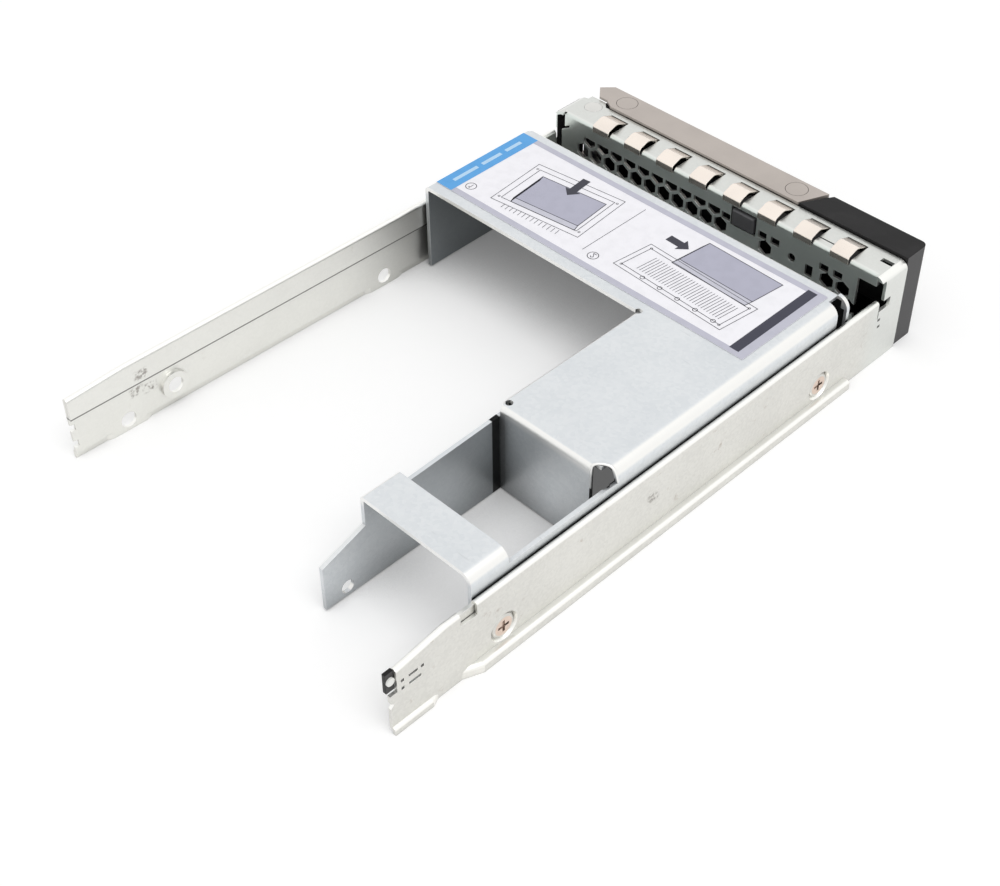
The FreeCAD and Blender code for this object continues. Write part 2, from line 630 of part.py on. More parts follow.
def near_rail():
    """Rail on the near side, with the light guide's slots, the hem's notch and the cut for its holder."""
    runner_end = RAIL_LENGTH - RUNNER_REAR_MARGIN
    stretches = [(RUNNER_START, runner_end, NEAR_RUNNER_OFFSET, RUNNER_LEDGE, 0, NEAR_RUNNER_FADE),
                 (RAIL_LENGTH - REAR_RUNNER_LENGTH, RAIL_LENGTH, REAR_RUNNER_OFFSET, REAR_RUNNER_LEDGE,
                  REAR_RUNNER_FADE, 0)]
    straight = rail(RAIL_LENGTH, NEAR_FLAP_EDGE, NEAR_TAPER_DROP, stretches)
    body, tools = with_dimples(joined([straight, rail_root(NEAR_FLAP_EDGE)]))
    outer, inner = HALF_WIDTH + 1, HALF_WIDTH - SHEET - HEM_GAP / 2
    notch, end = WALL_BACK + runner_end, WALL_BACK + RAIL_LENGTH
    for inside, depth in ((inner, HEM_NOTCH_DEPTH), (inner - HEM_WIDTH, HEM_CROWN_CUT)):
        tools.append(block(inside, outer, notch, notch + HEM_NOTCH_LENGTH, RAIL_HEIGHT - depth,
                           RAIL_HEIGHT + 1))
    tools += guide_marks(outer, inner)
    tools.append(block(HALF_WIDTH - 2 * HEM_WIDTH, outer, end - GUIDE_END_LENGTH, end + 1,
                       GUIDE_END_LOW - SHEET / 2, RAIL_HEIGHT))
    nick = [(end + 1, END_NICK_HEIGHT - 2 * END_NICK_DEPTH), (end + 1, END_NICK_HEIGHT + 2 * END_NICK_DEPTH),
            (end - END_NICK_DEPTH, END_NICK_HEIGHT)]
    tools.append(prism(nick, "x", inner, outer))
    return mirrored(less(body, tools))


def far_rail():
    """Rail on the far side: splayed, with both drives' screw holes, its runners ending at the lower holes."""
    length = RAIL_LENGTH - FAR_RAIL_SHORTER
    first, last, land = DRIVE_25_FIRST_HOLE, DRIVE_25_LAST_HOLE, HOLE_LAND + FAR_RUNNER_FADE
    spans = ((RUNNER_START, first - land, 0), (first + land, last - land, 1), (last + land, length, 1))
    stretches = [(low, high, FAR_RUNNER_OFFSET, RUNNER_LEDGE, FAR_RUNNER_FADE * fades_in,
                  FAR_RUNNER_FADE if high < length else 0) for low, high, fades_in in spans]
    body, tools = with_dimples(rail(length, FAR_FLAP_EDGE, FAR_TAPER_DROP, stretches))
    outer, inner = HALF_WIDTH + 1, HALF_WIDTH - 2 * SHEET
    for hole in (first, last):
        y = WALL_BACK + hole
        tools.append(rod(RAIL_HOLE_RADIUS, V(inner, y, DRIVE_25_HOLE_HEIGHT),
                         V(outer, y, DRIVE_25_HOLE_HEIGHT)))
    end = WALL_BACK + length
    for height in (RAIL_HEIGHT / 2, RAIL_HEIGHT / 4):
        tools.append(block(inner, outer, end - FAR_END_NOTCH, end + 1, height - FAR_END_NOTCH,
                           height + FAR_END_NOTCH / 2))
    return joined([splayed(less(body, tools)), splay_bend(FAR_FLAP_EDGE), rail_root(FAR_FLAP_EDGE)])


def tray_frame():
    """The whole tray sheet: front bracket with both rails."""
    return joined([front_bracket(), near_rail(), far_rail()])


def finger_strip():
    """Spring fingers that rise through the plate's slots from a strip under its front edge."""
    base = BRACKET_HEIGHT - SHEET - FINGER_SHEET
    front = PLATE_FRONT + FINGER_STRIP_SETBACK
    back = WALL_BACK + FINGER_SHEET + FINGER_LIP_GAP
    root, rise, crest = front + FINGER_ROOT, front + FINGER_ROOT + FINGER_SLOPE, front + FINGER_CREST
    path = [(root, base), (rise, BRACKET_HEIGHT + FINGER_SHEET), (crest, BRACKET_HEIGHT + FINGER_RISE),
            (back - FINGER_LIP_GAP, BRACKET_HEIGHT + FINGER_RISE / 3),
            (back, BRACKET_HEIGHT - FINGER_LIP_DROP)]
    radii = [FINGER_BEND, FINGER_CREST_BEND, FINGER_BEND]
    fingers = [folded(path, radii, FINGER_SHEET, lambda y, z: V(near, y, z)).extrude(V(FINGER_WIDTH, 0, 0))
               for near in finger_places()]
    margin = 2 * FINGER_SHEET
    strip = block(finger_places()[-1] - margin, finger_places()[0] + FINGER_WIDTH + margin, front, root,
                  base - FINGER_SHEET / 2, base + FINGER_SHEET / 2)
    return joined([strip] + fingers)


def adapter_walls(plate_near, plate_far, plate_inner, wide_back, narrow_back):
    """Walls folded down all round the adapter's plate, with the gaps that the bends need at the corners."""
    t, top, low, back = ADAPTER_SHEET, ADAPTER_TOP, ADAPTER_BOTTOM, V(0, 1, 0)
    front_edge, far_start = ADAPTER_FRONT + TIGHT_BEND, ADAPTER_FRONT + t + CORNER_GAP / 3
    near_start, narrow_edge = ADAPTER_FRONT + NEAR_WALL_START, narrow_back - TIGHT_BEND
    far_gap = CORNER_GAP / 3
    rear_near = plate_near + CORNER_GAP
    return [
        flange(V(plate_near, front_edge, 0), V(0, -1, 0), V(1, 0, 0), plate_far - plate_near, top, low,
               TIGHT_BEND, t),
        flange(V(plate_near, near_start, 0), V(-1, 0, 0), back, narrow_edge - CORNER_GAP - near_start,
               top, low, NEAR_BEND, t),
        flange(V(plate_far, far_start, 0), V(1, 0, 0), back, wide_back - far_start, top, low, TIGHT_BEND, t),
        flange(V(rear_near, narrow_edge, 0), V(0, 1, 0), V(1, 0, 0), plate_inner - rear_near, top, low,
               TIGHT_BEND, t),
        flange(V(plate_inner, wide_back, 0), V(1, 0, 0), back, narrow_edge - far_gap - wide_back,
               top, low, INNER_BEND, t),
    ]


def adapter_holes(inner, wide_back, narrow_back):
    """Corner reliefs, the smaller drive's screw holes and the tapped holes for the adapter's own screws."""
    t, top = ADAPTER_SHEET, ADAPTER_TOP
    tapped = SCREW_RADIUS + TAPPED_HOLE_CLEARANCE
    near_corner = ADAPTER_NEAR + NEAR_BEND / 2
    reliefs = [(NEAR_RELIEF_RADIUS, near_corner, narrow_back - TIGHT_BEND / 2, NEAR_BEND + t),
               (INNER_RELIEF_RADIUS, inner - 1.6 * t, narrow_back - 2.2 * t, 2 * t),
               (INNER_RELIEF_RADIUS, inner - t / 2, wide_back, 3 * t)]
    tools = [rod(radius, V(x, y, top - depth), V(x, y, top + 1)) for radius, x, y, depth in reliefs]
    screws = [(inner, DRIVE_25_HOLE_RADIUS, hole, DRIVE_25_HOLE_HEIGHT)
              for hole in (DRIVE_25_FIRST_HOLE, DRIVE_25_LAST_HOLE)]
    screws += [(ADAPTER_NEAR, tapped, hole, DRIVE_35_HOLE_HEIGHT)
               for hole in (DRIVE_35_FIRST_HOLE, REAR_SCREW)]
    screws.append((ADAPTER_FAR, tapped, DRIVE_35_FIRST_HOLE, DRIVE_35_HOLE_HEIGHT))
    for x, radius, hole, height in screws:
        tools.append(rod(radius, V(x - 2 * t, WALL_BACK + hole, height),
                         V(x + 2 * t, WALL_BACK + hole, height)))
    return tools


def adapter_bracket():
    """Folded adapter: wide plate, narrow box, low near wall, strap and the long inner wall."""
    t, top, low = ADAPTER_SHEET, ADAPTER_TOP, ADAPTER_BOTTOM
    front, near, far = ADAPTER_FRONT, ADAPTER_NEAR, ADAPTER_FAR
    wide_back, narrow_back = front + WIDE_PLATE_DEPTH, front + NARROW_PART_LENGTH
    inner = far - DRIVE_25_BAY_WIDTH
    plate_near, plate_far, plate_inner = near + NEAR_BEND, far - TIGHT_BEND, inner - INNER_BEND
    plate = prism([(plate_near, front + TIGHT_BEND), (plate_far, front + TIGHT_BEND), (plate_far, wide_back),
                   (plate_inner, wide_back), (plate_inner, narrow_back - TIGHT_BEND),
                   (plate_near, narrow_back - TIGHT_BEND)], "z", top - t, top)
    corner = rod(NEAR_BEND, V(plate_near, front, top - NEAR_BEND), V(plate_near, front + t, top - NEAR_BEND))
    corner = corner.cut(block(plate_near, far, front - 1, front + 2 * t, 0, top + 1))
    front_end = block(near, plate_near, front, front + t, low, top - NEAR_BEND)
    low_top = top - LOW_WALL_DROP
    low_near = block(near, near + t, narrow_back - TIGHT_BEND - 2 * t, STRAP_FRONT + t, low, low_top)
    strap = block(plate_near, plate_inner, STRAP_FRONT, STRAP_BACK, top - t, top)
    strap_sides = [flange(V(edge, STRAP_FRONT, 0), V(way, 0, 0), V(0, 1, 0), STRAP_WIDTH, top, low, bend, t)
                   for edge, way, bend in ((plate_near, -1, NEAR_BEND), (plate_inner, 1, INNER_BEND))]
    tail_end, wall_top = STRAP_BACK + TAIL_LENGTH, top - INNER_WALL_DROP
    outline = [(wide_back, low), (tail_end, low), (tail_end, top - TAIL_END_DROP),
               (STRAP_BACK, top - TAIL_START_DROP), (STRAP_BACK, wall_top - 2 * t),
               (STRAP_FRONT, wall_top - t), (narrow_back, wall_top), (wide_back, wall_top)]
    long_wall = prism(outline, "x", inner - t, inner)
    walls = adapter_walls(plate_near, plate_far, plate_inner, wide_back, narrow_back)
    body = joined([plate, front_end, corner, low_near, strap, long_wall] + walls + strap_sides)
    return less(body, adapter_holes(inner, wide_back, narrow_back))


def rail_screw():
    """Cross-recessed screw of the far side's front hole, straight, with its head on the dimple's floor."""
    seat = HALF_WIDTH - DIMPLE_DEPTH
    crown = seat + SCREW_HEAD_HEIGHT
    y, z = WALL_BACK + DRIVE_35_FIRST_HOLE, DRIVE_35_HOLE_HEIGHT
    head = rod(SCREW_HEAD_RADIUS, V(seat, y, z), V(crown, y, z))
    rim = [edge for edge in head.Edges if edge.BoundBox.XMin > crown - JOIN]
    head = head.makeChamfer(SCREW_HEAD_CHAMFER, rim)
    shank = rod(SCREW_RADIUS, V(seat + JOIN, y, z), V(seat - SCREW_LENGTH, y, z))
    long, wide, bottom = SCREW_CROSS_LENGTH / 2, SCREW_CROSS_WIDTH / 2, crown - SCREW_CROSS_DEPTH
    recess = [block(bottom, crown + 1, y - long, y + long, z - wide, z + wide),
              block(bottom, crown + 1, y - wide, y + wide, z - long, z + long)]
    return less(joined([head, shank]), recess)


def adapter_label():
    """Thin label on the wide plate."""
    near, far = ADAPTER_NEAR + LABEL_NEAR_MARGIN, ADAPTER_FAR - LABEL_FAR_MARGIN
    front = ADAPTER_FRONT + LABEL_FRONT_MARGIN
    return block(near, far, front, front + LABEL_DEPTH, ADAPTER_TOP, ADAPTER_TOP + LABEL_THICKNESS)


def handle_outline(inset, low, high):
    """Handle's plan outline, moved in by an inset, over a range of heights."""
    back = FRONT_BACK - inset
    front = FRONT_FACE + inset
    step = PLATE_FRONT - PLATE_TAB_REACH - FRONT_GAP - inset
    step_x = HALF_WIDTH - FAR_CORNER_RADIUS - PLATE_TAB_WIDTH - FRONT_GAP - inset
    near = HANDLE_NEAR_END + inset
    far = HANDLE_FAR_END - inset
    points = [(near, front), (far - HANDLE_CHAMFER, front), (far, front + HANDLE_CHAMFER),
              (far - HANDLE_CHAMFER, step), (step_x, step), (step_x - PLATE_TAB_REACH - 4 * FRONT_GAP, back),
              (near + HANDLE_SLANT, back)]
    return prism(points, "z", low, high)


def swing_room(inset):
    """Half space that the bracket takes up for the handle, when it is turned to its open end."""
    swing = math.radians(HANDLE_OPEN_DEGREES)
    away, across = V(math.sin(swing), math.cos(swing), 0), V(math.cos(swing), -math.sin(swing), 0)
    reach = HANDLE_FAR_END
    edge = V(PIN_X, PIN_Y, -1) - away * (PLATE_TAB_REACH + PIN_SETBACK + 2 * FRONT_GAP + inset)
    corners = [edge - across * reach, edge + across * reach, edge + across * reach + away * reach,
               edge - across * reach + away * reach]
    return Part.Face(Part.makePolygon(corners + corners[:1])).extrude(UP * (FRONT_HEIGHT + 2))


def handle_vents():
    """Honeycomb tools for the handle's front face."""
    row_pitch = VENT_PITCH * math.sqrt(3) / 2
    middle = (HANDLE_NEAR_END + PIN_X) / 2
    front, back = FRONT_FACE - 1, FRONT_FACE + HANDLE_WALL + JOIN
    vents = []
    for row in range(VENT_ROWS):
        height = FRONT_HEIGHT / 2 + (row - (VENT_ROWS - 1) / 2) * row_pitch
        for column in range(VENT_COLUMNS - row % 2):
            x = middle + (column - (VENT_COLUMNS - 1 - row % 2) / 2) * VENT_PITCH
            vents.append(hexagon(x, height, VENT_ACROSS_FLATS, front, back))
    return vents


def handle_body():
    """Handle: vented channel with a thin top flange over the bracket's plate and a lug round the pin."""
    wall_top, floor = FRONT_HEIGHT - HANDLE_SKIN, FRONT_BOTTOM + HANDLE_WALL
    top = handle_outline(0, wall_top, FRONT_HEIGHT)
    outside = handle_outline(0, FRONT_BOTTOM, wall_top).cut(swing_room(0))
    inside = handle_outline(HANDLE_WALL, floor, wall_top).cut(swing_room(HANDLE_WALL))
    open_back = block(HANDLE_NEAR_END + HANDLE_SLANT + HANDLE_WALL, PIN_X - 3 * LUG_RADIUS,
                      FRONT_BACK - HANDLE_WALL - JOIN, PLATE_FRONT, floor, wall_top)
    lug_low, lug_high = SHEET + LUG_GAP, BRACKET_HEIGHT - SHEET - LUG_GAP
    lug = rod(LUG_RADIUS, V(PIN_X, PIN_Y, lug_low), V(PIN_X, PIN_Y, lug_high))
    inner_face = FRONT_FACE + HANDLE_WALL / 2
    arm_far = PIN_X + LUG_RADIUS / 5
    arm = prism([(PIN_X - LUG_RADIUS, PIN_Y), (arm_far, PIN_Y), (arm_far, inner_face),
                 (PIN_X - 2 * LUG_RADIUS, inner_face)], "z", lug_low, lug_high)
    shell = joined([less(outside, [inside, open_back] + handle_vents()), top, lug, arm])
    bore = rod(PIN_RADIUS + PIN_CLEARANCE, V(PIN_X, PIN_Y, 0), V(PIN_X, PIN_Y, BRACKET_HEIGHT))
    spring_room = rod(LUG_RADIUS + 2 * LUG_GAP / 3, V(PIN_X, PIN_Y, HANDLE_SPRING_LOW - LUG_GAP),
                      V(PIN_X, PIN_Y, HANDLE_SPRING_LOW + HANDLE_SPRING_HEIGHT + LUG_GAP))
    studs = [rod(STUD_RADIUS, V(x, STUD_Y, wall_top), V(x, STUD_Y, FRONT_HEIGHT + 1)) for x in STUD_PLACES]
    return less(shell, [bore, spring_room] + studs)


def handle_stud(x):
    """Flush stud in the handle's top flange."""
    low = FRONT_HEIGHT - HANDLE_SKIN
    return rod(STUD_RADIUS - STUD_CLEARANCE, V(x, STUD_Y, low), V(x, STUD_Y, FRONT_HEIGHT))


def pivot_pin():
    """Handle's pin from the bottom flange to the plate, with its head swaged flush."""
    shaft = rod(PIN_RADIUS, V(PIN_X, PIN_Y, 0), V(PIN_X, PIN_Y, BRACKET_HEIGHT))
    seat = BRACKET_HEIGHT - PIN_HEAD_DEPTH
    head = rod(PIN_HEAD_RADIUS, V(PIN_X, PIN_Y, seat), V(PIN_X, PIN_Y, BRACKET_HEIGHT))
    return joined([shaft, head])


def handle_spring():
    """Strip spring curled round the pin, with a leg that reaches back to the bracket's rear wall."""
    outer, low = SPRING_RADIUS + SPRING_SHEET, HANDLE_SPRING_LOW
    high = low + HANDLE_SPRING_HEIGHT
    curl = rod(outer, V(PIN_X, PIN_Y, low), V(PIN_X, PIN_Y, high))
    curl = curl.cut(rod(SPRING_RADIUS, V(PIN_X, PIN_Y, low - 1), V(PIN_X, PIN_Y, high + 1)))
    gap = block(PIN_X, PIN_X + 2 * outer, PIN_Y - outer / 2, PIN_Y + outer / 2, low - 1, high + 1)
    leg_end = PIN_X - HANDLE_SPRING_LEG
    leg = prism([(PIN_X, PIN_Y + SPRING_RADIUS), (PIN_X, PIN_Y + outer), (leg_end, WALL_FRONT),
                 (leg_end, WALL_FRONT - SPRING_SHEET)], "z", low, high)
    return joined([curl.cut(gap), leg])


def bezel_outline(inset, low, high):
    """Bezel block's plan outline, moved in by an inset, over a range of heights."""
    near = BEZEL_NEAR_END + inset
    front = FRONT_FACE + inset
    far_front = HANDLE_NEAR_END - 3 * BEZEL_SPLIT - inset
    far_back = HANDLE_NEAR_END + HANDLE_SLANT - BEZEL_SPLIT - inset
    points = [(near, front), (far_front, front), (far_back, FRONT_BACK), (near, FRONT_BACK)]
    return prism(points, "z", low, high)


def button_frame():
    """Left, right, bottom and top of the button's face."""
    left = BEZEL_NEAR_END + BUTTON_NEAR_OFFSET
    return left, left + BUTTON_WIDTH, BUTTON_BOTTOM, BUTTON_BOTTOM + BUTTON_HEIGHT


def bezel_body():
    """Bezel block: a shell open at the back, with the button's window, the spring seat and the pawl shelf."""
    outside = bezel_outline(0, 0, FRONT_HEIGHT)
    upright = edges_between(outside, FRONT_HEIGHT, lambda edge: edge.CenterOfMass.x < BEZEL_NEAR_END + 1
                            and edge.CenterOfMass.y < FRONT_FACE + 1)
    outside = outside.makeFillet(BEZEL_CORNER, upright)
    inside = bezel_outline(BEZEL_WALL, BEZEL_WALL, FRONT_HEIGHT - BEZEL_WALL)
    left, right, low, high = button_frame()
    window = block(left - MOVING_GAP, right + MOVING_GAP, FRONT_FACE - 1, FRONT_FACE + BEZEL_WALL + JOIN,
                   low - MOVING_GAP, high + MOVING_GAP)
    shell = less(outside, [inside, window] + [indicator_block(height, 0, 1) for height in INDICATOR_HEIGHTS])
    middle_x, middle_z = (left + right) / 2, (low + high) / 2
    half = SEAT_SIZE / 2
    seat = block(BEZEL_NEAR_END + BEZEL_WALL / 2, middle_x + half, FRONT_BACK - SEAT_THICKNESS, FRONT_BACK,
                 middle_z - half, middle_z + half)
    shelf = block(right + BEZEL_WALL, HANDLE_NEAR_END - BEZEL_SPLIT, FRONT_FACE + BEZEL_WALL / 2, FRONT_BACK,
                  PAWL_LOW - SHELF_THICKNESS, PAWL_LOW - MOVING_GAP / 2)
    nose_slot = block(HANDLE_NEAR_END - 5, HANDLE_NEAR_END + 5, CAM_PIN_Y - CAM_MARGIN - MOVING_GAP,
                      PAWL_NOSE_FRONT + PAWL_NOSE_WIDTH + MOVING_GAP, PAWL_LOW - MOVING_GAP / 2,
                      PAWL_TOP + MOVING_GAP)
    return less(joined([shell, seat, shelf]), [nose_slot])


def indicator_block(height, clearance, reach):
    """Indicator window's body between the button and the near side, made smaller by a clearance."""
    x, half = BEZEL_NEAR_END + INDICATOR_SIDE_MARGIN, INDICATOR_SIZE / 2 - clearance
    return block(x - half, x + half, FRONT_FACE - reach, FRONT_FACE + BEZEL_WALL + reach, height - half,
                 height + half)


def release_button():
    """Button with a stop rim behind the window and an arm that carries the cam pin."""
    left, right, low, high = button_frame()
    back = FRONT_FACE + BEZEL_WALL + BUTTON_RIM
    face = block(left, right, FRONT_FACE - BUTTON_PROUD, back, low, high)
    face = face.makeFillet(BUTTON_CORNER, edges_between(face, back - FRONT_FACE + BUTTON_PROUD))
    rim_front = FRONT_FACE + BEZEL_WALL + MOVING_GAP / 3
    rim_back = rim_front + BUTTON_RIM
    rim = block(left - BUTTON_RIM, right + BUTTON_RIM, rim_front, rim_back, low - BUTTON_RIM,
                high + BUTTON_RIM)
    arm_low = PAWL_TOP + MOVING_GAP
    arm = block(right - BUTTON_RIM, CAM_PIN_X + BUTTON_RIM, rim_front, CAM_PIN_Y + BUTTON_RIM,
                arm_low, arm_low + ARM_THICKNESS)
    pin = rod(CAM_PIN_RADIUS, V(CAM_PIN_X, CAM_PIN_Y, PAWL_LOW + MOVING_GAP),
              V(CAM_PIN_X, CAM_PIN_Y, arm_low + ARM_THICKNESS / 2))
    notch = block(right + MOVING_GAP, right + 2 * BUTTON_RIM, rim_front - 1, rim_back + 1,
                  PAWL_LOW - MOVING_GAP, arm_low - JOIN)
    return joined([face, less(rim, [notch]), arm, pin])


def latch_pawl():
    """Pawl plate with the slanted cam slot and its nose towards the handle."""
    back = FRONT_BACK - MOVING_GAP
    plate = block(CAM_PIN_X - CAM_MARGIN, HANDLE_NEAR_END - PAWL_PLATE_MARGIN, CAM_PIN_Y - CAM_MARGIN, back,
                  PAWL_LOW, PAWL_TOP)
    nose = block(HANDLE_NEAR_END - 2 * PAWL_PLATE_MARGIN, HANDLE_NEAR_END + PAWL_NOSE_REACH,
                 PAWL_NOSE_FRONT, PAWL_NOSE_FRONT + PAWL_NOSE_WIDTH, PAWL_LOW, PAWL_TOP)
    radius = CAM_PIN_RADIUS + CAM_PIN_CLEARANCE
    rest = V(CAM_PIN_X, CAM_PIN_Y, PAWL_LOW - 1)
    ends = (rest, rest + V(PAWL_TRAVEL, BUTTON_TRAVEL, 0))
    way = (ends[1] - ends[0]).normalize()
    across = V(-way.y, way.x, 0) * radius
    corners = [ends[0] - across, ends[1] - across, ends[1] + across, ends[0] + across]
    slot = Part.Face(Part.makePolygon(corners + corners[:1])).extrude(UP * (PAWL_HEIGHT + 2))
    rounds = [Part.makeCylinder(radius, PAWL_HEIGHT + 2, end) for end in ends]
    return less(joined([plate, nose]), [slot] + rounds)


def button_spring():
    """Zigzag leaf spring between the button and its seat in the bezel."""
    left, right, low, high = button_frame()
    middle_x, middle_z = (left + right) / 2, (low + high) / 2
    front = FRONT_FACE + BEZEL_WALL + MOVING_GAP / 3 + BUTTON_RIM + JOIN
    back = FRONT_BACK - SEAT_THICKNESS - JOIN
    pitch = (back - front - SPRING_SHEET) / SPRING_LEAVES
    swings = [SPRING_REACH if leaf % 2 else -SPRING_REACH for leaf in range(SPRING_LEAVES + 1)]
    path = [(front + SPRING_SHEET / 2 + pitch * leaf, middle_z + swing) for leaf, swing in enumerate(swings)]
    section = folded(path, [SPRING_SHEET] * (SPRING_LEAVES - 1), SPRING_SHEET,
                     lambda y, z: V(middle_x - SPRING_LEAF_WIDTH / 2, y, z))
    return section.extrude(V(SPRING_LEAF_WIDTH, 0, 0))


def bezel_carrier():
    """Black tongue under the plate behind the bezel, with the clip that stands through the rear wall."""
    top = BRACKET_HEIGHT - SHEET - 3 * FINGER_SHEET
    back = WALL_FRONT - CLIP_CLEARANCE / 2
    window_top = BRACKET_HEIGHT - CLIP_WINDOW_DROP
    near, far = CLIP_WINDOW_FAR - CLIP_WINDOW_WIDTH + CLIP_CLEARANCE, CLIP_WINDOW_FAR - CLIP_CLEARANCE
    tongue = block(-HALF_WIDTH + CARRIER_SIDE_MARGIN, far, PLATE_FRONT + CARRIER_SETBACK, back,
                   top - CARRIER_THICKNESS, top)
    clip = block(near, far, back - CARRIER_THICKNESS, WALL_BACK + CLIP_CLEARANCE,
                 window_top - CLIP_WINDOW_HEIGHT + CLIP_CLEARANCE, window_top - CLIP_CLEARANCE)
    edges = [edge for edge in clip.Edges if edge.BoundBox.YMin > WALL_BACK]
    clip = clip.makeChamfer(CLIP_CLEARANCE / 2, edges)
    return joined([tongue, clip])


def light_guide():
    """Clear strip along the inside of the near rail."""
    end = WALL_BACK + RAIL_LENGTH - GUIDE_END_LENGTH
    return block(GUIDE_OUTER, GUIDE_OUTER + GUIDE_THICKNESS, WALL_BACK + MOVING_GAP, end,
                 GUIDE_MIDDLE - GUIDE_HEIGHT / 2, GUIDE_MIDDLE + GUIDE_HEIGHT / 2)


def light_guide_end():
    """Black holder at the rear end of the light guide, in the cut-back end of the rail."""
    end = WALL_BACK + RAIL_LENGTH
    holder = block(GUIDE_OUTER, GUIDE_OUTER + HEM_WIDTH - SHEET, end - GUIDE_END_LENGTH,
                   end + GUIDE_END_REACH, GUIDE_END_LOW, RAIL_HEIGHT - NEAR_TAPER_DROP)
    seat = rod(INLET_RADIUS, V(GUIDE_OUTER - 1, INLET_Y, INLET_HEIGHT),
               V(GUIDE_OUTER + GUIDE_THICKNESS, INLET_Y, INLET_HEIGHT))
    return less(holder, [seat])


def light_inlet():
    """Bright round inlet in the side of the holder."""
    return rod(INLET_RADIUS, V(GUIDE_OUTER - SHEET / 2, INLET_Y, INLET_HEIGHT),
               V(GUIDE_OUTER + GUIDE_THICKNESS, INLET_Y, INLET_HEIGHT))


screw = rail_screw()
near_front_screw = mirrored(screw)
near_rear_screw = near_front_screw.copy()
near_rear_screw.translate(V(0, DRIVE_35_SPACING, 0))

parts["tray_frame"] = tray_frame()
parts["shield_fingers"] = finger_strip()
parts["adapter_bracket"] = adapter_bracket()
parts["adapter_label"] = adapter_label()
parts["screw_near_front"] = near_front_screw
parts["screw_near_rear"] = near_rear_screw
parts["screw_far_front"] = splayed(screw)
parts["bezel_body"] = bezel_body()
parts["bezel_carrier"] = bezel_carrier()
parts["release_button"] = release_button()
parts["button_spring"] = button_spring()
parts["latch_pawl"] = latch_pawl()
parts["handle_body"] = handle_body()
parts["handle_stud_far"] = handle_stud(STUD_PLACES[0])
parts["handle_stud_near"] = handle_stud(STUD_PLACES[1])
parts["handle_pin"] = pivot_pin()
parts["handle_spring"] = handle_spring()
parts["light_guide"] = light_guide()
parts["light_guide_end"] = light_guide_end()
parts["light_inlet"] = light_inlet()
parts["indicator_lower"] = indicator_block(INDICATOR_HEIGHTS[0], INDICATOR_CLEARANCE, 0)
parts["indicator_upper"] = indicator_block(INDICATOR_HEIGHTS[1], INDICATOR_CLEARANCE, 0)

os.makedirs("parts", exist_ok=True)
for node, shape in parts.items():
    shape.exportStep(f"parts/{node}.step")
    print(node, "solids", len(shape.Solids), "valid", shape.isValid(), "volume", round(shape.Volume, 1))
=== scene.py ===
import math

import bpy
from mathutils import Matrix, Vector


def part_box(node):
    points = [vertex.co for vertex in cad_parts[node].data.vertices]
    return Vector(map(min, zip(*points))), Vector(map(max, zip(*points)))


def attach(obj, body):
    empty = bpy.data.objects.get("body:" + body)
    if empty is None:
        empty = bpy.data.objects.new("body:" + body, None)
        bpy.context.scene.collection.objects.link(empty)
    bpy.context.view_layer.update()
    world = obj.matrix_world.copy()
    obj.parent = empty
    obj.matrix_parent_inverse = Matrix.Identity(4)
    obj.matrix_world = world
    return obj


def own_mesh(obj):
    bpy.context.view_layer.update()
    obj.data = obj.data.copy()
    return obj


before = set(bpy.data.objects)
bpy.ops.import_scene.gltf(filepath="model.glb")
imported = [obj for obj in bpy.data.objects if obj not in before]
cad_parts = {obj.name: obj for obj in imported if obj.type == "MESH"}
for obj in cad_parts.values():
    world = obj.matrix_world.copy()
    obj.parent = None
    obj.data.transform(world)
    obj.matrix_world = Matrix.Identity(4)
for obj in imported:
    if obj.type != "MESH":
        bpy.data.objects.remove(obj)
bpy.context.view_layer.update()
MM = 0.001

# Colours as they are seen, 0 to 255
TRAY = (225, 224, 219)
TRAY_SHADE = (214, 213, 208)
TRAY_STAIN = (150, 128, 110)
EAR = (222, 225, 222)
# Painted light on the far rail's inner face
FAR_RAIL_LIGHT = (243, 243, 238)
# Perforated wall's tone, matched to its look in shade (painted shade)
WALL_SHADE = (222, 229, 224)
# Painted shade inside the tray's bracket and the adapter's narrow box
HOLLOW_SHADE = (32, 34, 34)
SMEAR = (128, 120, 114)
# Painted highlight on the rails' crowns
CROWN_HIGHLIGHT = (255, 255, 251)
ADAPTER = (227, 230, 232)
ADAPTER_SHADE = (217, 221, 224)
# Painted shade on the adapter's walls and under its wide plate
ADAPTER_SHADOW = (112, 118, 121)
# Painted highlight just below the adapter's bends
BEND_LIGHT = (250, 249, 246)
# Painted highlight on sheet edges, together with their wear
EDGE_WEAR_AND_HIGHLIGHT = (250, 250, 250)
# Painted highlight on bends
BEND_HIGHLIGHT = (255, 253, 248)
FINGER = (250, 240, 230)
ZINC = (226, 206, 192)
SPRING = (200, 200, 200)
PIN = (226, 225, 221)
CHAMPAGNE = (191, 182, 175)
BLACK = (24, 23, 24)
INNER_BLACK = (14, 14, 15)
BUTTON = (58, 58, 60)
CARRIER = (78, 78, 80)
INLET = (244, 244, 240)
CLEAR = (232, 236, 238)
LABEL = (251, 250, 255)
BORDER = (196, 196, 210)
BLUE = (88, 168, 232)
BAND_BARS = (186, 221, 249)
SLATE = (50, 50, 68)
INK = (44, 44, 58)
DRAWING_TOP = (182, 182, 199)
DRAWING_SIDE = (206, 206, 218)
WHITE = (255, 255, 255)

# Sizes of what the finishes show, in millimetres
SHEET_CLOUD, SHEET_GRAIN, SHEET_SCRATCH = 14.0, 0.35, 0.5
# Reaches of the sheet's painted shade in hollows and in crevices
SHEET_HOLLOW, SHEET_CREVICE = 16.0, 1.4
SHEET_BUMP = 0.008
STAIN, BLOTCH = 4.5, 1.1
PLASTIC_CLOUD, PLASTIC_RUB = 7.0, 1.6
# Middle value is the reach of the metal parts' painted shade in hollows
METAL_CLOUD, METAL_HOLLOW, METAL_BUMP = 9.0, 3.0, 0.004
PRINT_CLOUD, PRINT_GRAIN, PRINT_BUMP = 3.0, 0.3, 0.002
CLEAR_CLOUD = 1.5

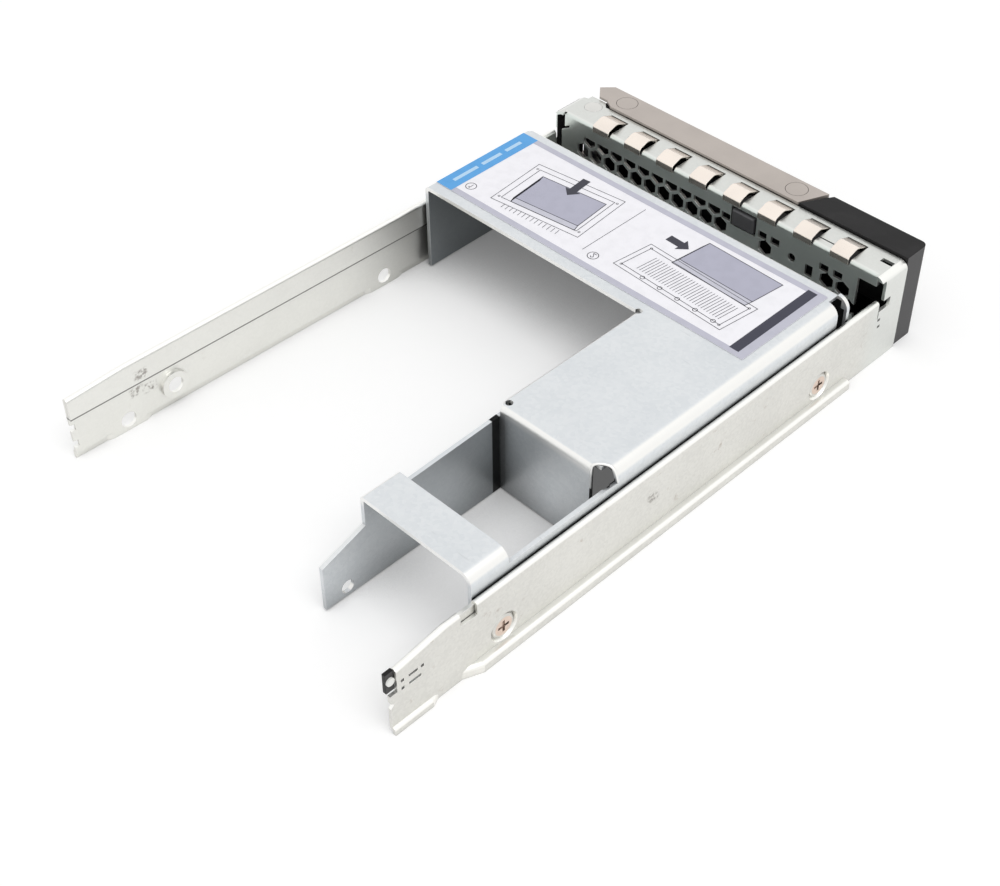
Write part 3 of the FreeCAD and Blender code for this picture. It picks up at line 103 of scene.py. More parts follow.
# Tray's places, in millimetres
WALL_DEPTH = (3.4, 5.1)
# Inside of the front bracket, painted with shade
BRACKET_INSIDE = ((-51.3, 51.3), (-4.4, 3.55), (0.75, 24.4))
EAR_END, EAR_START = 12.0, 4.0
EAR_SLITS = ((-52.5, 4.5, 13.3), (-52.5, 4.2, 11.2))
EAR_SLIT_REACH = (0.5, 0.4, 0.25)
RAILS_INSIDE, RAILS_OUTSIDE = 50.2, 50.4
FAR_RAIL_ACROSS = (49.5, 57.0)
# Painted shadow under the far rail's flap edge
FAR_RAIL_FLAP_SHADOW = (FAR_RAIL_ACROSS, (8.0, 162.0), (11.9, 12.25))
# Painted shade on the far rail, from where it starts to where it is full
FAR_RAIL_SHADE_START, FAR_RAIL_SHADE_FULL = 80.0, 51.0
SMEARS = ((53.3, 134.7, 8.8), (53.3, 138.3, 9.6), (53.3, 137.0, 14.4), (-52.15, 83.2, 11.3))
SMEAR_REACH = (3.0, 1.2, 0.7)

# Adapter's places, in millimetres
INNER_WALL_ACROSS = (-21.0, -18.0)
# Strip beside the inner wall's fold, painted with shade
INNER_WALL_FOLD = (INNER_WALL_ACROSS, (96.3, 98.2), (0.3, 22.6))
# Painted shade on the inner wall, darker towards the front
INNER_WALL_DARK, INNER_WALL_LIGHT = 122.0, 142.0
# Heights over which the painted shade on the upright walls grows
WALL_FOOT, WALL_HEAD = 4.0, 20.0
# Heights of the painted highlight below the bends
BEND_START, BEND_CREST = 21.2, 23.6
# Inside of the narrow box, painted with shade
NARROW_BOX_INSIDE = (((-49.55, -19.6), (15.9, 95.1), (-1.0, 21.4)),
                     ((-48.6, -19.6), (15.9, 95.1), (21.3, 23.45)))
# Under the wide plate, painted with shade
UNDER_WIDE_PLATE = ((-19.6, 49.6), (15.9, 51.6), (-1.0, 23.45))
INSIDE_SOFTNESS = 0.06

# Handle's channel, in millimetres: behind the face, under the top and short of the near end
CHANNEL_FRONT = (-12.2, -12.0)
CHANNEL_HEIGHT = (0.35, 25.05)
CHANNEL_END = (46.5, 46.2)
VENT_INSERT = (-20.0, 40.5, -11.15, -10.95)
VENT_INSERT_HEIGHT = (1.6, 24.6)

# Screws' driving faces, and the dark sheet in the far front corner that stands in for shade there (painted
# shade), in millimetres
SCREW_FACE_RADIUS = 2.2
SCREW_RIM_WIDTH = 0.25
CORNER_SHADE_SHEET = ((49.6, -4.3), (51.25, -4.3), (51.25, 4.2), (51.05, 4.2), (51.05, -4.1), (49.6, -4.1))
CORNER_SHADE_SHEET_HEIGHT = (3.0, 23.9)

# Rolled rim round the relief at the narrow box's near corner, in millimetres
RIM_RADIUS = 0.34
RIM_PATH = ((-45.8, 95.95, 18.5), (-45.75, 95.95, 21.6), (-45.3, 95.4, 24.3), (-46.8, 94.0, 24.7),
            (-48.7, 92.9, 24.45), (-50.1, 92.9, 22.9), (-50.35, 92.8, 21.0))

# Label print, in millimetres, with the dots' places as shares of a frame
PRINT_LIFT = 0.02
PRINT_LAYER = 0.005
BORDER_WIDTH = 1.7
NEAR_BORDER_WIDTH = 4.8
SLATE_INSET, SLATE_FRONT_INSET, SLATE_REAR_INSET = 2.2, 0.9, 1.4
BLUE_WIDTH = 5.1
BAR_INSET, BAR_WIDTH = 2.0, 1.1
BAR_SPANS = ((3.6, 9.0), (10.6, 17.2), (18.8, 27.0))
DIVIDER_OFFSET = 3.7
DOT_LINE, FINE_LINE, LINE, SLAB_LINE = 0.12, 0.14, 0.16, 0.2
DOT_RADIUS, DOT_ALONG, DOT_ACROSS = 0.28, 0.04, 0.1
NUMBER_RADIUS = 1.35
NUMBER_ONE = ((-0.05, -0.75), (-0.05, 0.75), (0.35, 0.4))
NUMBER_TWO = ((0.4, 0.45), (0.0, 0.8), (-0.4, 0.4), (0.4, -0.75), (-0.45, -0.75))
ARROW_SHAFT, ARROW_BARB, ARROW_HEAD_LENGTH = 1.1, 2.3, 2.4

# Light, as shares of a white floor's brightness
WORLD_LEVEL = 0.72
FLOOR_TONE = 0.86
FLOOR_GLOW = 0.24
# Darkest share of the floor's painted shade near the object
FLOOR_SHADE = 0.5

# Floor, in millimetres
# Reach of the floor's painted shade
FLOOR_SHADE_REACH = 45.0
FLOOR_HALF_SIZE = 2000.0

# Softbox and camera, in metres, with the lens and sensor in millimetres
SOFTBOX_WATTS = 11.0
SOFTBOX_SIZE = 1.2
SOFTBOX_PLACE = Vector((-0.9, 0.3, 1.8))
SOFTBOX_TARGET = Vector((0, 0.06, 0.01))
CAMERA_PLACE = Vector((-0.21155, 0.28478, 0.26534))
CAMERA_RIGHT = Vector((-0.706257, -0.707914, -0.007670))
CAMERA_UP = Vector((0.479356, -0.486150, 0.730668))
CAMERA_BACK = Vector((-0.520979, 0.512363, 0.682690))
LENS = 61.93
SENSOR_WIDTH = 36.0


def linear(colour):
    """Colour value for a shader from a colour as it is seen."""
    values = []
    for value in colour:
        value /= 255
        values.append(value / 12.92 if value <= 0.04045 else ((value + 0.055) / 1.055) ** 2.4)
    return (*values, 1.0)


def scaled(colour, share):
    """Colour made darker or brighter by a share."""
    return [min(255, value * share) for value in colour]


def raised(colour, steps):
    """Colour made lighter by some steps of 255."""
    return [min(255, value + steps) for value in colour]


def box_round(middle, reach):
    """Box round a middle: its range along each axis."""
    return [(place - size, place + size) for place, size in zip(middle, reach)]


class Tree:
    """Adds nodes to a node tree. A value is an output of a node or a plain number."""

    def __init__(self, tree):
        self.tree = tree

    def add(self, kind, **settings):
        """New node with its settings."""
        node = self.tree.nodes.new(kind)
        for setting, value in settings.items():
            setattr(node, setting, value)
        return node

    def put(self, value, socket):
        """Link an output to a socket, or set the socket to a plain value."""
        if isinstance(value, bpy.types.NodeSocket):
            self.tree.links.new(value, socket)
        else:
            socket.default_value = value

    def put_all(self, values, node):
        """Fill a node's first sockets in their order."""
        for value, socket in zip(values, node.inputs):
            self.put(value, socket)

    def math(self, operation, *values):
        """Result of an operation on values."""
        node = self.add("ShaderNodeMath", operation=operation)
        self.put_all(values, node)
        return node.outputs[0]

    def product(self, first, *others):
        """Product of values."""
        for other in others:
            first = self.math("MULTIPLY", first, other)
        return first

    def ramp(self, value, low, high, start=0.0, end=1.0):
        """Smooth step from start to end while a value goes from low to high."""
        node = self.add("ShaderNodeMapRange", interpolation_type="SMOOTHSTEP")
        self.put_all((value, low, high, start, end), node)
        return node.outputs[0]

    def openness(self, reach, samples=6, own=False):
        """Share of the surroundings that is free within a reach in millimetres."""
        node = self.add("ShaderNodeAmbientOcclusion", samples=samples, only_local=own)
        self.put(reach * MM, node.inputs["Distance"])
        return node.outputs["AO"]

    def is_ray(self, *kinds):
        """1 for rays of these kinds, 0 for others."""
        path = self.add("ShaderNodeLightPath")
        found = 0.0
        for kind in kinds:
            found = self.math("MAXIMUM", found, path.outputs[f"Is {kind} Ray"])
        return found


class Surface(Tree):
    """Builds one procedural material from layers of colour, a roughness and a bump."""

    def __init__(self, name, colour, edge_radius=0.12, **sockets):
        self.material = bpy.data.materials.new(name)
        self.material.use_nodes = True
        super().__init__(self.material.node_tree)
        self.shader = self.tree.nodes["Principled BSDF"]
        for socket, value in sockets.items():
            self.put(value, self.shader.inputs[socket.replace("_", " ")])
        self.colour = linear(colour)
        self.place = self.add("ShaderNodeTexCoord").outputs["Object"]
        geometry = self.add("ShaderNodeNewGeometry")
        self.normal = geometry.outputs["Normal"]
        self.flat_normal = geometry.outputs["True Normal"]
        rounded = self.add("ShaderNodeBevel", samples=4)
        self.put(edge_radius * MM, rounded.inputs["Radius"])
        self.rounded_normal = rounded.outputs["Normal"]

    def vector(self, operation, first, second):
        """Node for an operation on two vectors."""
        node = self.add("ShaderNodeVectorMath", operation=operation)
        self.put_all((first, second), node)
        return node

    def stretched(self, x, y, z):
        """Place in the object, multiplied along each axis."""
        return self.vector("MULTIPLY", self.place, (x, y, z)).outputs["Vector"]

    def noise(self, size, detail=2.0, roughness=0.5, stretch=(1, 1, 1)):
        """Noise whose features are about a size in millimetres across."""
        node = self.add("ShaderNodeTexNoise")
        self.put(self.stretched(*stretch), node.inputs["Vector"])
        self.put(1 / (size * MM), node.inputs["Scale"])
        self.put(detail, node.inputs["Detail"])
        self.put(roughness, node.inputs["Roughness"])
        return node.outputs["Fac"]

    def cells(self, size):
        """Random value for each crystal of a zinc coat, of a size in millimetres."""
        node = self.add("ShaderNodeTexVoronoi")
        self.put(self.place, node.inputs["Vector"])
        self.put(1 / (size * MM), node.inputs["Scale"])
        split = self.add("ShaderNodeSeparateColor")
        self.put(node.outputs["Color"], split.inputs[0])
        return split.outputs[0]

    def axis(self, name, vector=None):
        """One coordinate of the place in the object, or of another vector."""
        split = self.add("ShaderNodeSeparateXYZ")
        self.put(vector or self.place, split.inputs[0])
        return split.outputs[name]

    def fade(self, name, low, high, start=0.0, end=1.0):
        """Smooth step along an axis, between two coordinates in millimetres."""
        return self.ramp(self.axis(name), low * MM, high * MM, start, end)

    def within(self, name, low, high, soft=0.1):
        """1 between two coordinates in millimetres, 0 outside."""
        return self.product(self.fade(name, low - soft, low), self.fade(name, high + soft, high))

    def inside(self, box, soft=0.1):
        """1 inside a box of three ranges in millimetres, 0 outside."""
        return self.product(*(self.within(name, *limits, soft) for name, limits in zip("XYZ", box)))

    def edges(self):
        """1 on a rounded edge, 0 on a flat face."""
        alike = self.vector("DOT_PRODUCT", self.rounded_normal, self.flat_normal)
        return self.ramp(alike.outputs["Value"], 0.985, 0.85)

    def facing(self, name):
        """How squarely the face looks along an axis, either way."""
        return self.math("ABSOLUTE", self.axis(name, self.normal))

    def square(self, name):
        """1 on faces that look straight along an axis, 0 on others."""
        return self.ramp(self.facing(name), 0.8, 0.98)

    def bends(self):
        """1 on a bend, 0 on faces that are square to the axes."""
        level = self.math("MAXIMUM", self.facing("X"), self.facing("Y"))
        return self.ramp(self.math("MAXIMUM", level, self.facing("Z")), 0.99, 0.88)

    def layer(self, colour, *amounts):
        """Lay a colour over the ones so far, as strongly as the product of the amounts."""
        node = self.add("ShaderNodeMix", data_type="RGBA")
        self.put(self.product(*amounts), node.inputs["Factor"])
        self.put(self.colour, node.inputs["A"])
        self.put(linear(colour), node.inputs["B"])
        self.colour = node.outputs["Result"]

    def gloss(self, middle, *waves):
        """Roughness round a middle value. Each wave is a value from 0 to 1 and how much it changes it."""
        roughness = middle - sum(change for _, change in waves) / 2
        for wave, change in waves:
            roughness = self.math("MULTIPLY_ADD", wave, change, roughness)
        self.put(roughness, self.shader.inputs["Roughness"])

    def bump(self, height, depth):
        """Bump of a depth in millimetres, on top of the rounded edges."""
        node = self.add("ShaderNodeBump")
        self.put(1.0, node.inputs["Strength"])
        self.put(depth * MM, node.inputs["Distance"])
        self.put(height, node.inputs["Height"])
        self.put(self.rounded_normal, node.inputs["Normal"])
        self.put(node.outputs["Normal"], self.shader.inputs["Normal"])

    def done(self):
        """The material, with its layers of colour in place."""
        self.put(self.colour, self.shader.inputs["Base Color"])
        return self.material


def galvanised(name, bright, shade, spangle, streaks, roughness, hollow_shade_depth, own=False):
    """Galvanised sheet: zinc crystals, rolling streaks, painted highlights with wear on edges, painted
    highlights on bends, painted shade in hollows and crevices.
    """
    surface = Surface(name, bright, Metallic=0.9)
    crystals = surface.cells(spangle)
    clouds = surface.noise(SHEET_CLOUD, detail=3.0)
    grain = surface.noise(SHEET_GRAIN, detail=4.0, roughness=0.6, stretch=streaks)
    scratches = surface.noise(SHEET_SCRATCH, stretch=(streaks[0] / 3, streaks[1] / 3, streaks[2]))
    tone = surface.math("MULTIPLY_ADD", crystals, 0.25, surface.product(clouds, 0.75))
    surface.layer(shade, surface.ramp(tone, 0.2, 0.8))
    surface.layer(scaled(shade, 0.8), surface.ramp(scratches, 0.70, 0.78), 0.25)
    # Painted highlight along the edges, together with their wear
    surface.layer(EDGE_WEAR_AND_HIGHLIGHT, surface.edges(), 0.6)
    # Painted shade in hollows
    hollow = surface.openness(SHEET_HOLLOW, own=own)
    surface.layer(scaled(shade, 0.42), surface.ramp(hollow, 0.15, 0.95, start=hollow_shade_depth, end=0.0))
    # Painted highlight on the bends
    surface.layer(BEND_HIGHLIGHT, surface.bends(), 0.7)
    # Painted shade in crevices
    crevice = surface.openness(SHEET_CREVICE)
    surface.layer(scaled(shade, 0.25), surface.ramp(crevice, 0.1, 0.62, start=0.85, end=0.0))
    surface.gloss(roughness, (crystals, 0.05), (grain, 0.14))
    surface.bump(surface.math("MULTIPLY_ADD", crystals, 0.1, grain), SHEET_BUMP)
    return surface


def tray_steel():
    """Tray's sheet: stained rails, and painted light and shade: a grey-green tone on the perforated wall
    matched to its shaded look, shade inside the bracket, under the far rail's flap and at its front end, and
    light on the far rail and the rails' crowns.
    """
    surface = galvanised("tray_steel", TRAY, TRAY_SHADE, spangle=0.6, streaks=(1, 0.12, 1), roughness=0.345,
                         hollow_shade_depth=0.3, own=True)
    stains = surface.noise(STAIN, detail=5.0, roughness=0.7)
    surface.layer(TRAY_STAIN, surface.ramp(stains, 0.62, 0.76, end=0.5))
    # Painted shade: the perforated wall takes one flat grey-green tone, matched to its look in shade, over
    # the shading painted before
    wall = surface.product(surface.within("Y", *WALL_DEPTH), surface.ramp(surface.facing("Y"), 0.25, 0.95))
    surface.layer(WALL_SHADE, wall)
    # Painted shade inside the bracket
    surface.layer(HOLLOW_SHADE, surface.inside(BRACKET_INSIDE))
    off_wall = surface.math("SUBTRACT", 1.0, wall)
    surface.layer(EAR, surface.fade("Y", EAR_END, EAR_START, end=0.6), off_wall)
    for middle in EAR_SLITS:
        surface.layer(scaled(TRAY_SHADE, 0.3), surface.inside(box_round(middle, EAR_SLIT_REACH), soft=0.2))
    far_rail = surface.product(surface.within("X", *FAR_RAIL_ACROSS), surface.square("X"))
    # Painted light on the far rail's inner face
    surface.layer(FAR_RAIL_LIGHT, far_rail, 0.6)
    # Painted shade, growing towards the far rail's front end
    front_end_shade = surface.fade("Y", FAR_RAIL_SHADE_START, FAR_RAIL_SHADE_FULL, end=0.45)
    surface.layer(scaled(TRAY_SHADE, 0.6), far_rail, front_end_shade)
    # Painted shadow under the far rail's flap edge
    surface.layer(scaled(TRAY_SHADE, 0.35), surface.inside(FAR_RAIL_FLAP_SHADOW, soft=0.14), 0.85)
    blotches = surface.ramp(surface.noise(BLOTCH, detail=4.0, roughness=0.7), 0.45, 0.62, end=0.75)
    for middle in SMEARS:
        surface.layer(SMEAR, surface.inside(box_round(middle, SMEAR_REACH), soft=1.0), blotches)
    sideways = surface.math("ABSOLUTE", surface.axis("X"))
    rails = surface.ramp(sideways, RAILS_INSIDE * MM, RAILS_OUTSIDE * MM)
    # Painted highlight on the rails' upward-facing crowns
    crown_highlight = surface.ramp(surface.axis("Z", surface.normal), 0.3, 0.7, end=0.85)
    surface.layer(CROWN_HIGHLIGHT, rails, crown_highlight)
    return surface.done()


def adapter_steel():
    """Adapter's sheet, cooler and smoother than the tray's, with painted shade on its walls, inside its
    narrow box, under its wide plate and beside the inner wall's fold, and painted light below its bends.
    """
    surface = galvanised("adapter_steel", ADAPTER, ADAPTER_SHADE, spangle=0.8, streaks=(0.15, 1, 1),
                         roughness=0.365, hollow_shade_depth=0.85)
    # Painted shade on walls that face along Y, darker higher up
    surface.layer(ADAPTER_SHADOW, surface.square("Y"), surface.fade("Z", WALL_FOOT, WALL_HEAD, end=0.16))
    # Painted shade on the inner wall, darker towards the front
    inner_wall = surface.product(surface.within("X", *INNER_WALL_ACROSS), surface.square("X"))
    surface.layer(ADAPTER_SHADOW, inner_wall,
                  surface.fade("Y", INNER_WALL_DARK, INNER_WALL_LIGHT, start=0.42, end=0.08))
    # Painted highlight on upright faces just below the bends
    surface.layer(BEND_LIGHT, surface.square("Y"), surface.fade("Z", BEND_START, BEND_CREST, end=0.8))
    # Painted shade inside the narrow box, under the wide plate and beside the inner wall's fold
    for box in NARROW_BOX_INSIDE:
        surface.layer(HOLLOW_SHADE, surface.inside(box, INSIDE_SOFTNESS))
    surface.layer(ADAPTER_SHADOW, surface.inside(UNDER_WIDE_PLATE, INSIDE_SOFTNESS), 0.75)
    surface.layer(scaled(ADAPTER_SHADE, 0.12), surface.inside(INNER_WALL_FOLD, soft=0.35))
    return surface.done()


def moulded(name, colour, roughness, grain, depth, wear=0.0, near_face_light=0.0, specular=0.5):
    """Moulded plastic with a fine texture, rubbed edges and painted light on faces that look towards the
    near side.
    """
    surface = Surface(name, colour, edge_radius=0.25, Specular_IOR_Level=specular)
    clouds = surface.noise(PLASTIC_CLOUD, detail=4.0)
    surface.layer(raised(colour, 10 + 50 * wear), surface.ramp(clouds, 0.45, 0.75, end=0.5))
    rubbed = surface.ramp(surface.noise(PLASTIC_RUB, detail=3.0), 0.4, 0.65, start=0.2, end=0.8)
    surface.layer(raised(colour, 40), surface.edges(), rubbed)
    # Painted light on faces that look towards the near side
    near_face_light_amount = surface.ramp(surface.axis("X", surface.normal), -0.7, -0.95, end=near_face_light)
    surface.layer(raised(colour, 60), near_face_light_amount)
    surface.gloss(roughness, (clouds, 0.12))
    surface.bump(surface.noise(grain, detail=3.0, roughness=0.6), depth)
    return surface.done()


def metallic_finish(name, colour, metallic, roughness, grain, streaks=(1, 1, 1)):
    """Plated or painted metal with a fine grain, painted highlights on edges and painted shade in hollows.
    """
    surface = Surface(name, colour, Metallic=metallic)
    texture = surface.noise(grain, detail=4.0, roughness=0.6, stretch=streaks)
    surface.layer(scaled(colour, 0.96), surface.ramp(surface.noise(METAL_CLOUD, detail=3.0), 0.3, 0.8))
    # Painted highlight on the edges
    surface.layer(scaled(colour, 1.15), surface.edges(), 0.5)
    # Painted shade in hollows
    hollow = surface.openness(METAL_HOLLOW)
    surface.layer(scaled(colour, 0.4), surface.ramp(hollow, 0.1, 0.8, start=0.7, end=0.0))
    surface.gloss(roughness, (texture, 0.12))
    surface.bump(texture, METAL_BUMP)
    return surface


def handle_finish():
    """Champagne finish outside, bare black plastic inside the channel."""
    surface = metallic_finish("handle_finish", CHAMPAGNE, metallic=0.3, roughness=0.4, grain=0.25)
    surface.layer(INNER_BLACK, surface.fade("Y", *CHANNEL_FRONT), surface.fade("X", *CHANNEL_END),
                  surface.within("Z", *CHANNEL_HEIGHT))
    return surface.done()


def screw_finish(nodes):
    """Warm zinc on the screws' driving faces, and the tray's grey round them."""
    surface = metallic_finish("screw_zinc", ZINC, metallic=0.9, roughness=0.34, grain=0.2)
    across = surface.stretched(0, 1, 1)
    nearest = 1.0
    for node in nodes:
        low, high = (Vector(corner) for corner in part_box(node))
        middle = (low + high) / 2
        away = surface.vector("DISTANCE", across, (0, middle.y, middle.z))
        nearest = surface.math("MINIMUM", nearest, away.outputs["Value"])
    rim_end = SCREW_FACE_RADIUS + SCREW_RIM_WIDTH
    surface.layer(TRAY_SHADE, surface.ramp(nearest, SCREW_FACE_RADIUS * MM, rim_end * MM))
    return surface.done()


def printed(name, colour):
    """Print or film of the label, with the slight unevenness of ink."""
    surface = Surface(name, colour, edge_radius=0.02)
    clouds = surface.noise(PRINT_CLOUD, detail=4.0)
    surface.layer(scaled(colour, 0.98), surface.ramp(clouds, 0.4, 0.7))
    surface.gloss(0.47, (clouds, 0.1))
    surface.bump(surface.noise(PRINT_GRAIN), PRINT_BUMP)
    return surface.done()


def clear_plastic():
    """Clear moulded plastic."""
    surface = Surface("clear_plastic", CLEAR, Transmission_Weight=0.9, IOR=1.49)
    surface.gloss(0.13, (surface.noise(CLEAR_CLOUD), 0.1))
    return surface.done()


finger_steel = metallic_finish("finger_steel", FINGER, metallic=1.0, roughness=0.24, grain=0.09,
                               streaks=(1, 0.1, 1))
spring_steel = metallic_finish("spring_steel", SPRING, metallic=1.0, roughness=0.3, grain=0.2)
pin_steel = metallic_finish("pin_steel", PIN, metallic=0.9, roughness=0.35, grain=0.25)
# Black plastic of the vents' insert, also used for the dark sheet of painted shade in the far front corner
insert_and_shade_sheet_plastic = moulded("insert_and_shade_sheet_plastic", INNER_BLACK, roughness=0.6, grain=0.8, depth=0.08)
finishes = {
    "tray_steel": tray_steel(),
    "adapter_steel": adapter_steel(),
    "finger_steel": finger_steel.done(),
    "screw_zinc": screw_finish(("screw_near_front", "screw_near_rear")),
    "spring_steel": spring_steel.done(),
    "pin_steel": pin_steel.done(),
    "handle_finish": handle_finish(),
    # Bezel, with painted light on the faces that look towards the near side
    "bezel_plastic": moulded("bezel_plastic", BLACK, roughness=0.42, grain=0.25, depth=0.01, wear=0.2,
                             near_face_light=0.65, specular=0.2),
    "carrier_plastic": moulded("carrier_plastic", CARRIER, roughness=0.5, grain=0.5, depth=0.03),
    "button_plastic": moulded("button_plastic", BUTTON, roughness=0.45, grain=0.25, depth=0.01),
    "clear_plastic": clear_plastic(),
    "inlet_plastic": moulded("inlet_plastic", INLET, roughness=0.3, grain=0.4, depth=0.004),
    "label_film": printed("label_film", LABEL),
}

nodes_by_finish = {
    "tray_steel": ("tray_frame",),
    "adapter_steel": ("adapter_bracket",),
    "finger_steel": ("shield_fingers",),
    "screw_zinc": ("screw_near_front", "screw_near_rear", "screw_far_front"),
    "spring_steel": ("button_spring", "handle_spring"),
    "pin_steel": ("handle_pin",),
    "handle_finish": ("handle_body", "handle_stud_far", "handle_stud_near"),
    "bezel_plastic": ("bezel_body", "light_guide_end"),
    "carrier_plastic": ("bezel_carrier",),
    "button_plastic": ("release_button", "latch_pawl"),
    "clear_plastic": ("light_guide", "indicator_lower", "indicator_upper"),
    "inlet_plastic": ("light_inlet",),
    "label_film": ("adapter_label",),
}
for finish, nodes in nodes_by_finish.items():
    for node in nodes:
        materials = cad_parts[node].data.materials
        materials.clear()
        materials.append(finishes[finish])


def placed(name, data):
    """New object in the scene."""
    piece = bpy.data.objects.new(name, data)
    bpy.context.scene.collection.objects.link(piece)
    return piece


def mesh_piece(name, corners, faces, material):
    """New object in the scene, a mesh with its corners in millimetres."""
    mesh = bpy.data.meshes.new(name)
    mesh.from_pydata([tuple(value * MM for value in corner) for corner in corners], [], faces)
    mesh.materials.append(material)
    return placed(name, mesh)


def box_outline(x0, x1, y0, y1):
    """Closed outline of a rectangle."""
    return [(x0, y0), (x1, y0), (x1, y1), (x0, y1)]


# Label print: flat shapes just above the film
film_low, film_high = (Vector(corner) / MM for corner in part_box("adapter_label"))


def flat_piece(name, outlines, colour, layer):
    """Flat print made of closed outlines of x, y points, on one of the layers above the film."""
    height = film_high.z + PRINT_LIFT + PRINT_LAYER * layer
    corners, faces = [], []
    for outline in outlines:
        first = len(corners)
        corners += [(x, y, height) for x, y in outline]
        faces.append(range(first, first + len(outline)))
    piece = mesh_piece(name, corners, faces, printed(name, colour))
    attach(piece, "tray")


def stroke(start, end, width):
    """Outline of a straight line."""
    start, end = Vector(start), Vector(end)
    way = (end - start).normalized() * (width / 2)
    side = Vector((-way.y, way.x))
    corners = (start - way - side, end + way - side, end + way + side, start - way + side)
    return [tuple(corner) for corner in corners]


class Drawing:
    """Drawing on the label, kept as closed outlines of x, y points."""

    def __init__(self):
        self.tops = []
        self.sides = []
        self.lines = []
        self.arrows = []

    def line(self, points, width, closed=False):
        """Strokes along a row of points."""
        points = list(points)
        ends = points[1:] + points[:1] if closed else points[1:]
        self.lines += [stroke(start, end, width) for start, end in zip(points, ends)]

    def ring(self, centre, radius, width, steps=28):
        """Strokes round a circle."""
        x, y = centre
        angles = [math.tau * step / steps for step in range(steps)]
        points = [(x + radius * math.cos(angle), y + radius * math.sin(angle)) for angle in angles]
        self.line(points, width, closed=True)

    def number(self, centre, strokes):
        """Number in a ring, drawn by strokes round its centre."""
        x, y = centre
        self.ring(centre, NUMBER_RADIUS, LINE)
        self.line([(x + right, y + up) for right, up in strokes], LINE)

    def slab(self, corner, along, across, drop):
        """Slanted plain block: its top face from a corner, and the two side faces under it."""
        corner, along, across, drop = (Vector(item) for item in (corner, along, across, drop))
        top = (corner, corner + along, corner + along + across, corner + across)
        self.tops.append([tuple(point) for point in top])
        for start, end in ((top[3], top[2]), (top[2], top[1])):
            self.sides.append([tuple(point) for point in (start, end, end + drop, start + drop)])
            self.line((start, start + drop, end + drop, end), SLAB_LINE)
        self.line(top, SLAB_LINE, closed=True)

    def frame(self, corner, along, across, rim):
        """Open frame: two outlines, one inside the other, with a dot in each corner."""
        corner, along, across = Vector(corner), Vector(along), Vector(across)
        for inset in (0.0, rim):
            u, v = along.normalized() * inset, across.normalized() * inset
            outline = (corner + u + v, corner + along - u + v, corner + along + across - u - v,
                       corner + across + u - v)
            self.line(outline, LINE, closed=True)
        for u, v in box_outline(DOT_ALONG, 1 - DOT_ALONG, DOT_ACROSS, 1 - DOT_ACROSS):
            self.ring(corner + along * u + across * v, DOT_RADIUS, DOT_LINE, steps=12)

    def hatching(self, corner, along, across, count):
        """Row of short parallel strokes."""
        corner, along, across = Vector(corner), Vector(along), Vector(across)
        for index in range(count):
            start = corner + along * (index / count)
            self.line((start, start + across), FINE_LINE)

    def arrow(self, tail, way, length):
        """Solid arrow that points along a direction."""
        tail, way = Vector(tail), Vector(way).normalized()
        side = Vector((-way.y, way.x))
        shaft, barb = side * ARROW_SHAFT, side * ARROW_BARB
        tip = tail + way * length
        neck = tip - way * ARROW_HEAD_LENGTH
        corners = (tail - shaft, neck - shaft, neck - barb, tip, neck + barb, neck + shaft, tail + shaft)
        self.arrows.append([tuple(corner) for corner in corners])


near, far = film_low.x, film_high.x
front, rear = film_low.y, film_high.y
field = near + NEAR_BORDER_WIDTH
middle = (near + far) / 2 + DIVIDER_OFFSET
border = [box_outline(near, far, front, front + BORDER_WIDTH),
          box_outline(near, far, rear - BORDER_WIDTH, rear),
          box_outline(near, field, front + BORDER_WIDTH, rear - BORDER_WIDTH)]
blue_band = box_outline(far - BLUE_WIDTH, far, front, rear)
slate_band = box_outline(near + SLATE_INSET, field, front + SLATE_FRONT_INSET, rear - SLATE_REAR_INSET)
bars = [box_outline(far - BAR_INSET - BAR_WIDTH, far - BAR_INSET, front + low, front + high)
        for low, high in BAR_SPANS]
flat_piece("label_border", border, BORDER, layer=0)
flat_piece("label_blue_band", [blue_band], BLUE, layer=2)
flat_piece("label_slate_band", [slate_band], SLATE, layer=2)
flat_piece("label_band_bars", bars, BAND_BARS, layer=4)

drawing = Drawing()
drawing.line(((middle, front + 3.4), (middle, rear - 4.9)), FINE_LINE)
drawing.number((far - 7.4, rear - 4.6), NUMBER_ONE)
drawing.number((middle - 3.4, rear - 4.8), NUMBER_TWO)
drawing.frame((middle + 5.6, front + 4.4), along=(26.0, 3.0), across=(-1.6, 18.5), rim=1.8)
drawing.slab((middle + 8.2, front + 8.4), along=(19.0, 2.2), across=(-1.1, 11.2), drop=(-0.6, 1.8))
drawing.hatching((middle + 9.0, front + 24.0), along=(18.0, 1.4), across=(-0.2, 1.6), count=14)
drawing.arrow((middle + 18.4, front + 4.2), way=(-0.1, 1.0), length=8.0)
drawing.frame((near + 8.6, front + 14.4), along=(33.0, -1.6), across=(1.4, 11.6), rim=1.3)
drawing.hatching((near + 12.0, front + 17.2), along=(26.0, -1.2), across=(0.7, 6.0), count=30)
drawing.slab((near + 10.0, front + 3.6), along=(22.0, -0.6), across=(1.1, 9.6), drop=(0.4, 2.2))
for index in range(5):
    drawing.ring((near + 13.0 + 5.4 * index, front + 24.6 - 0.2 * index), 0.55, FINE_LINE, steps=16)
drawing.arrow((near + 40.4, front + 8.0), way=(-1.0, 0.04), length=6.4)
flat_piece("label_drawing_tops", drawing.tops, DRAWING_TOP, layer=1)
flat_piece("label_drawing_sides", drawing.sides, DRAWING_SIDE, layer=1)
flat_piece("label_drawing_lines", drawing.lines, INK, layer=3)
flat_piece("label_arrows", drawing.arrows, INK, layer=5)


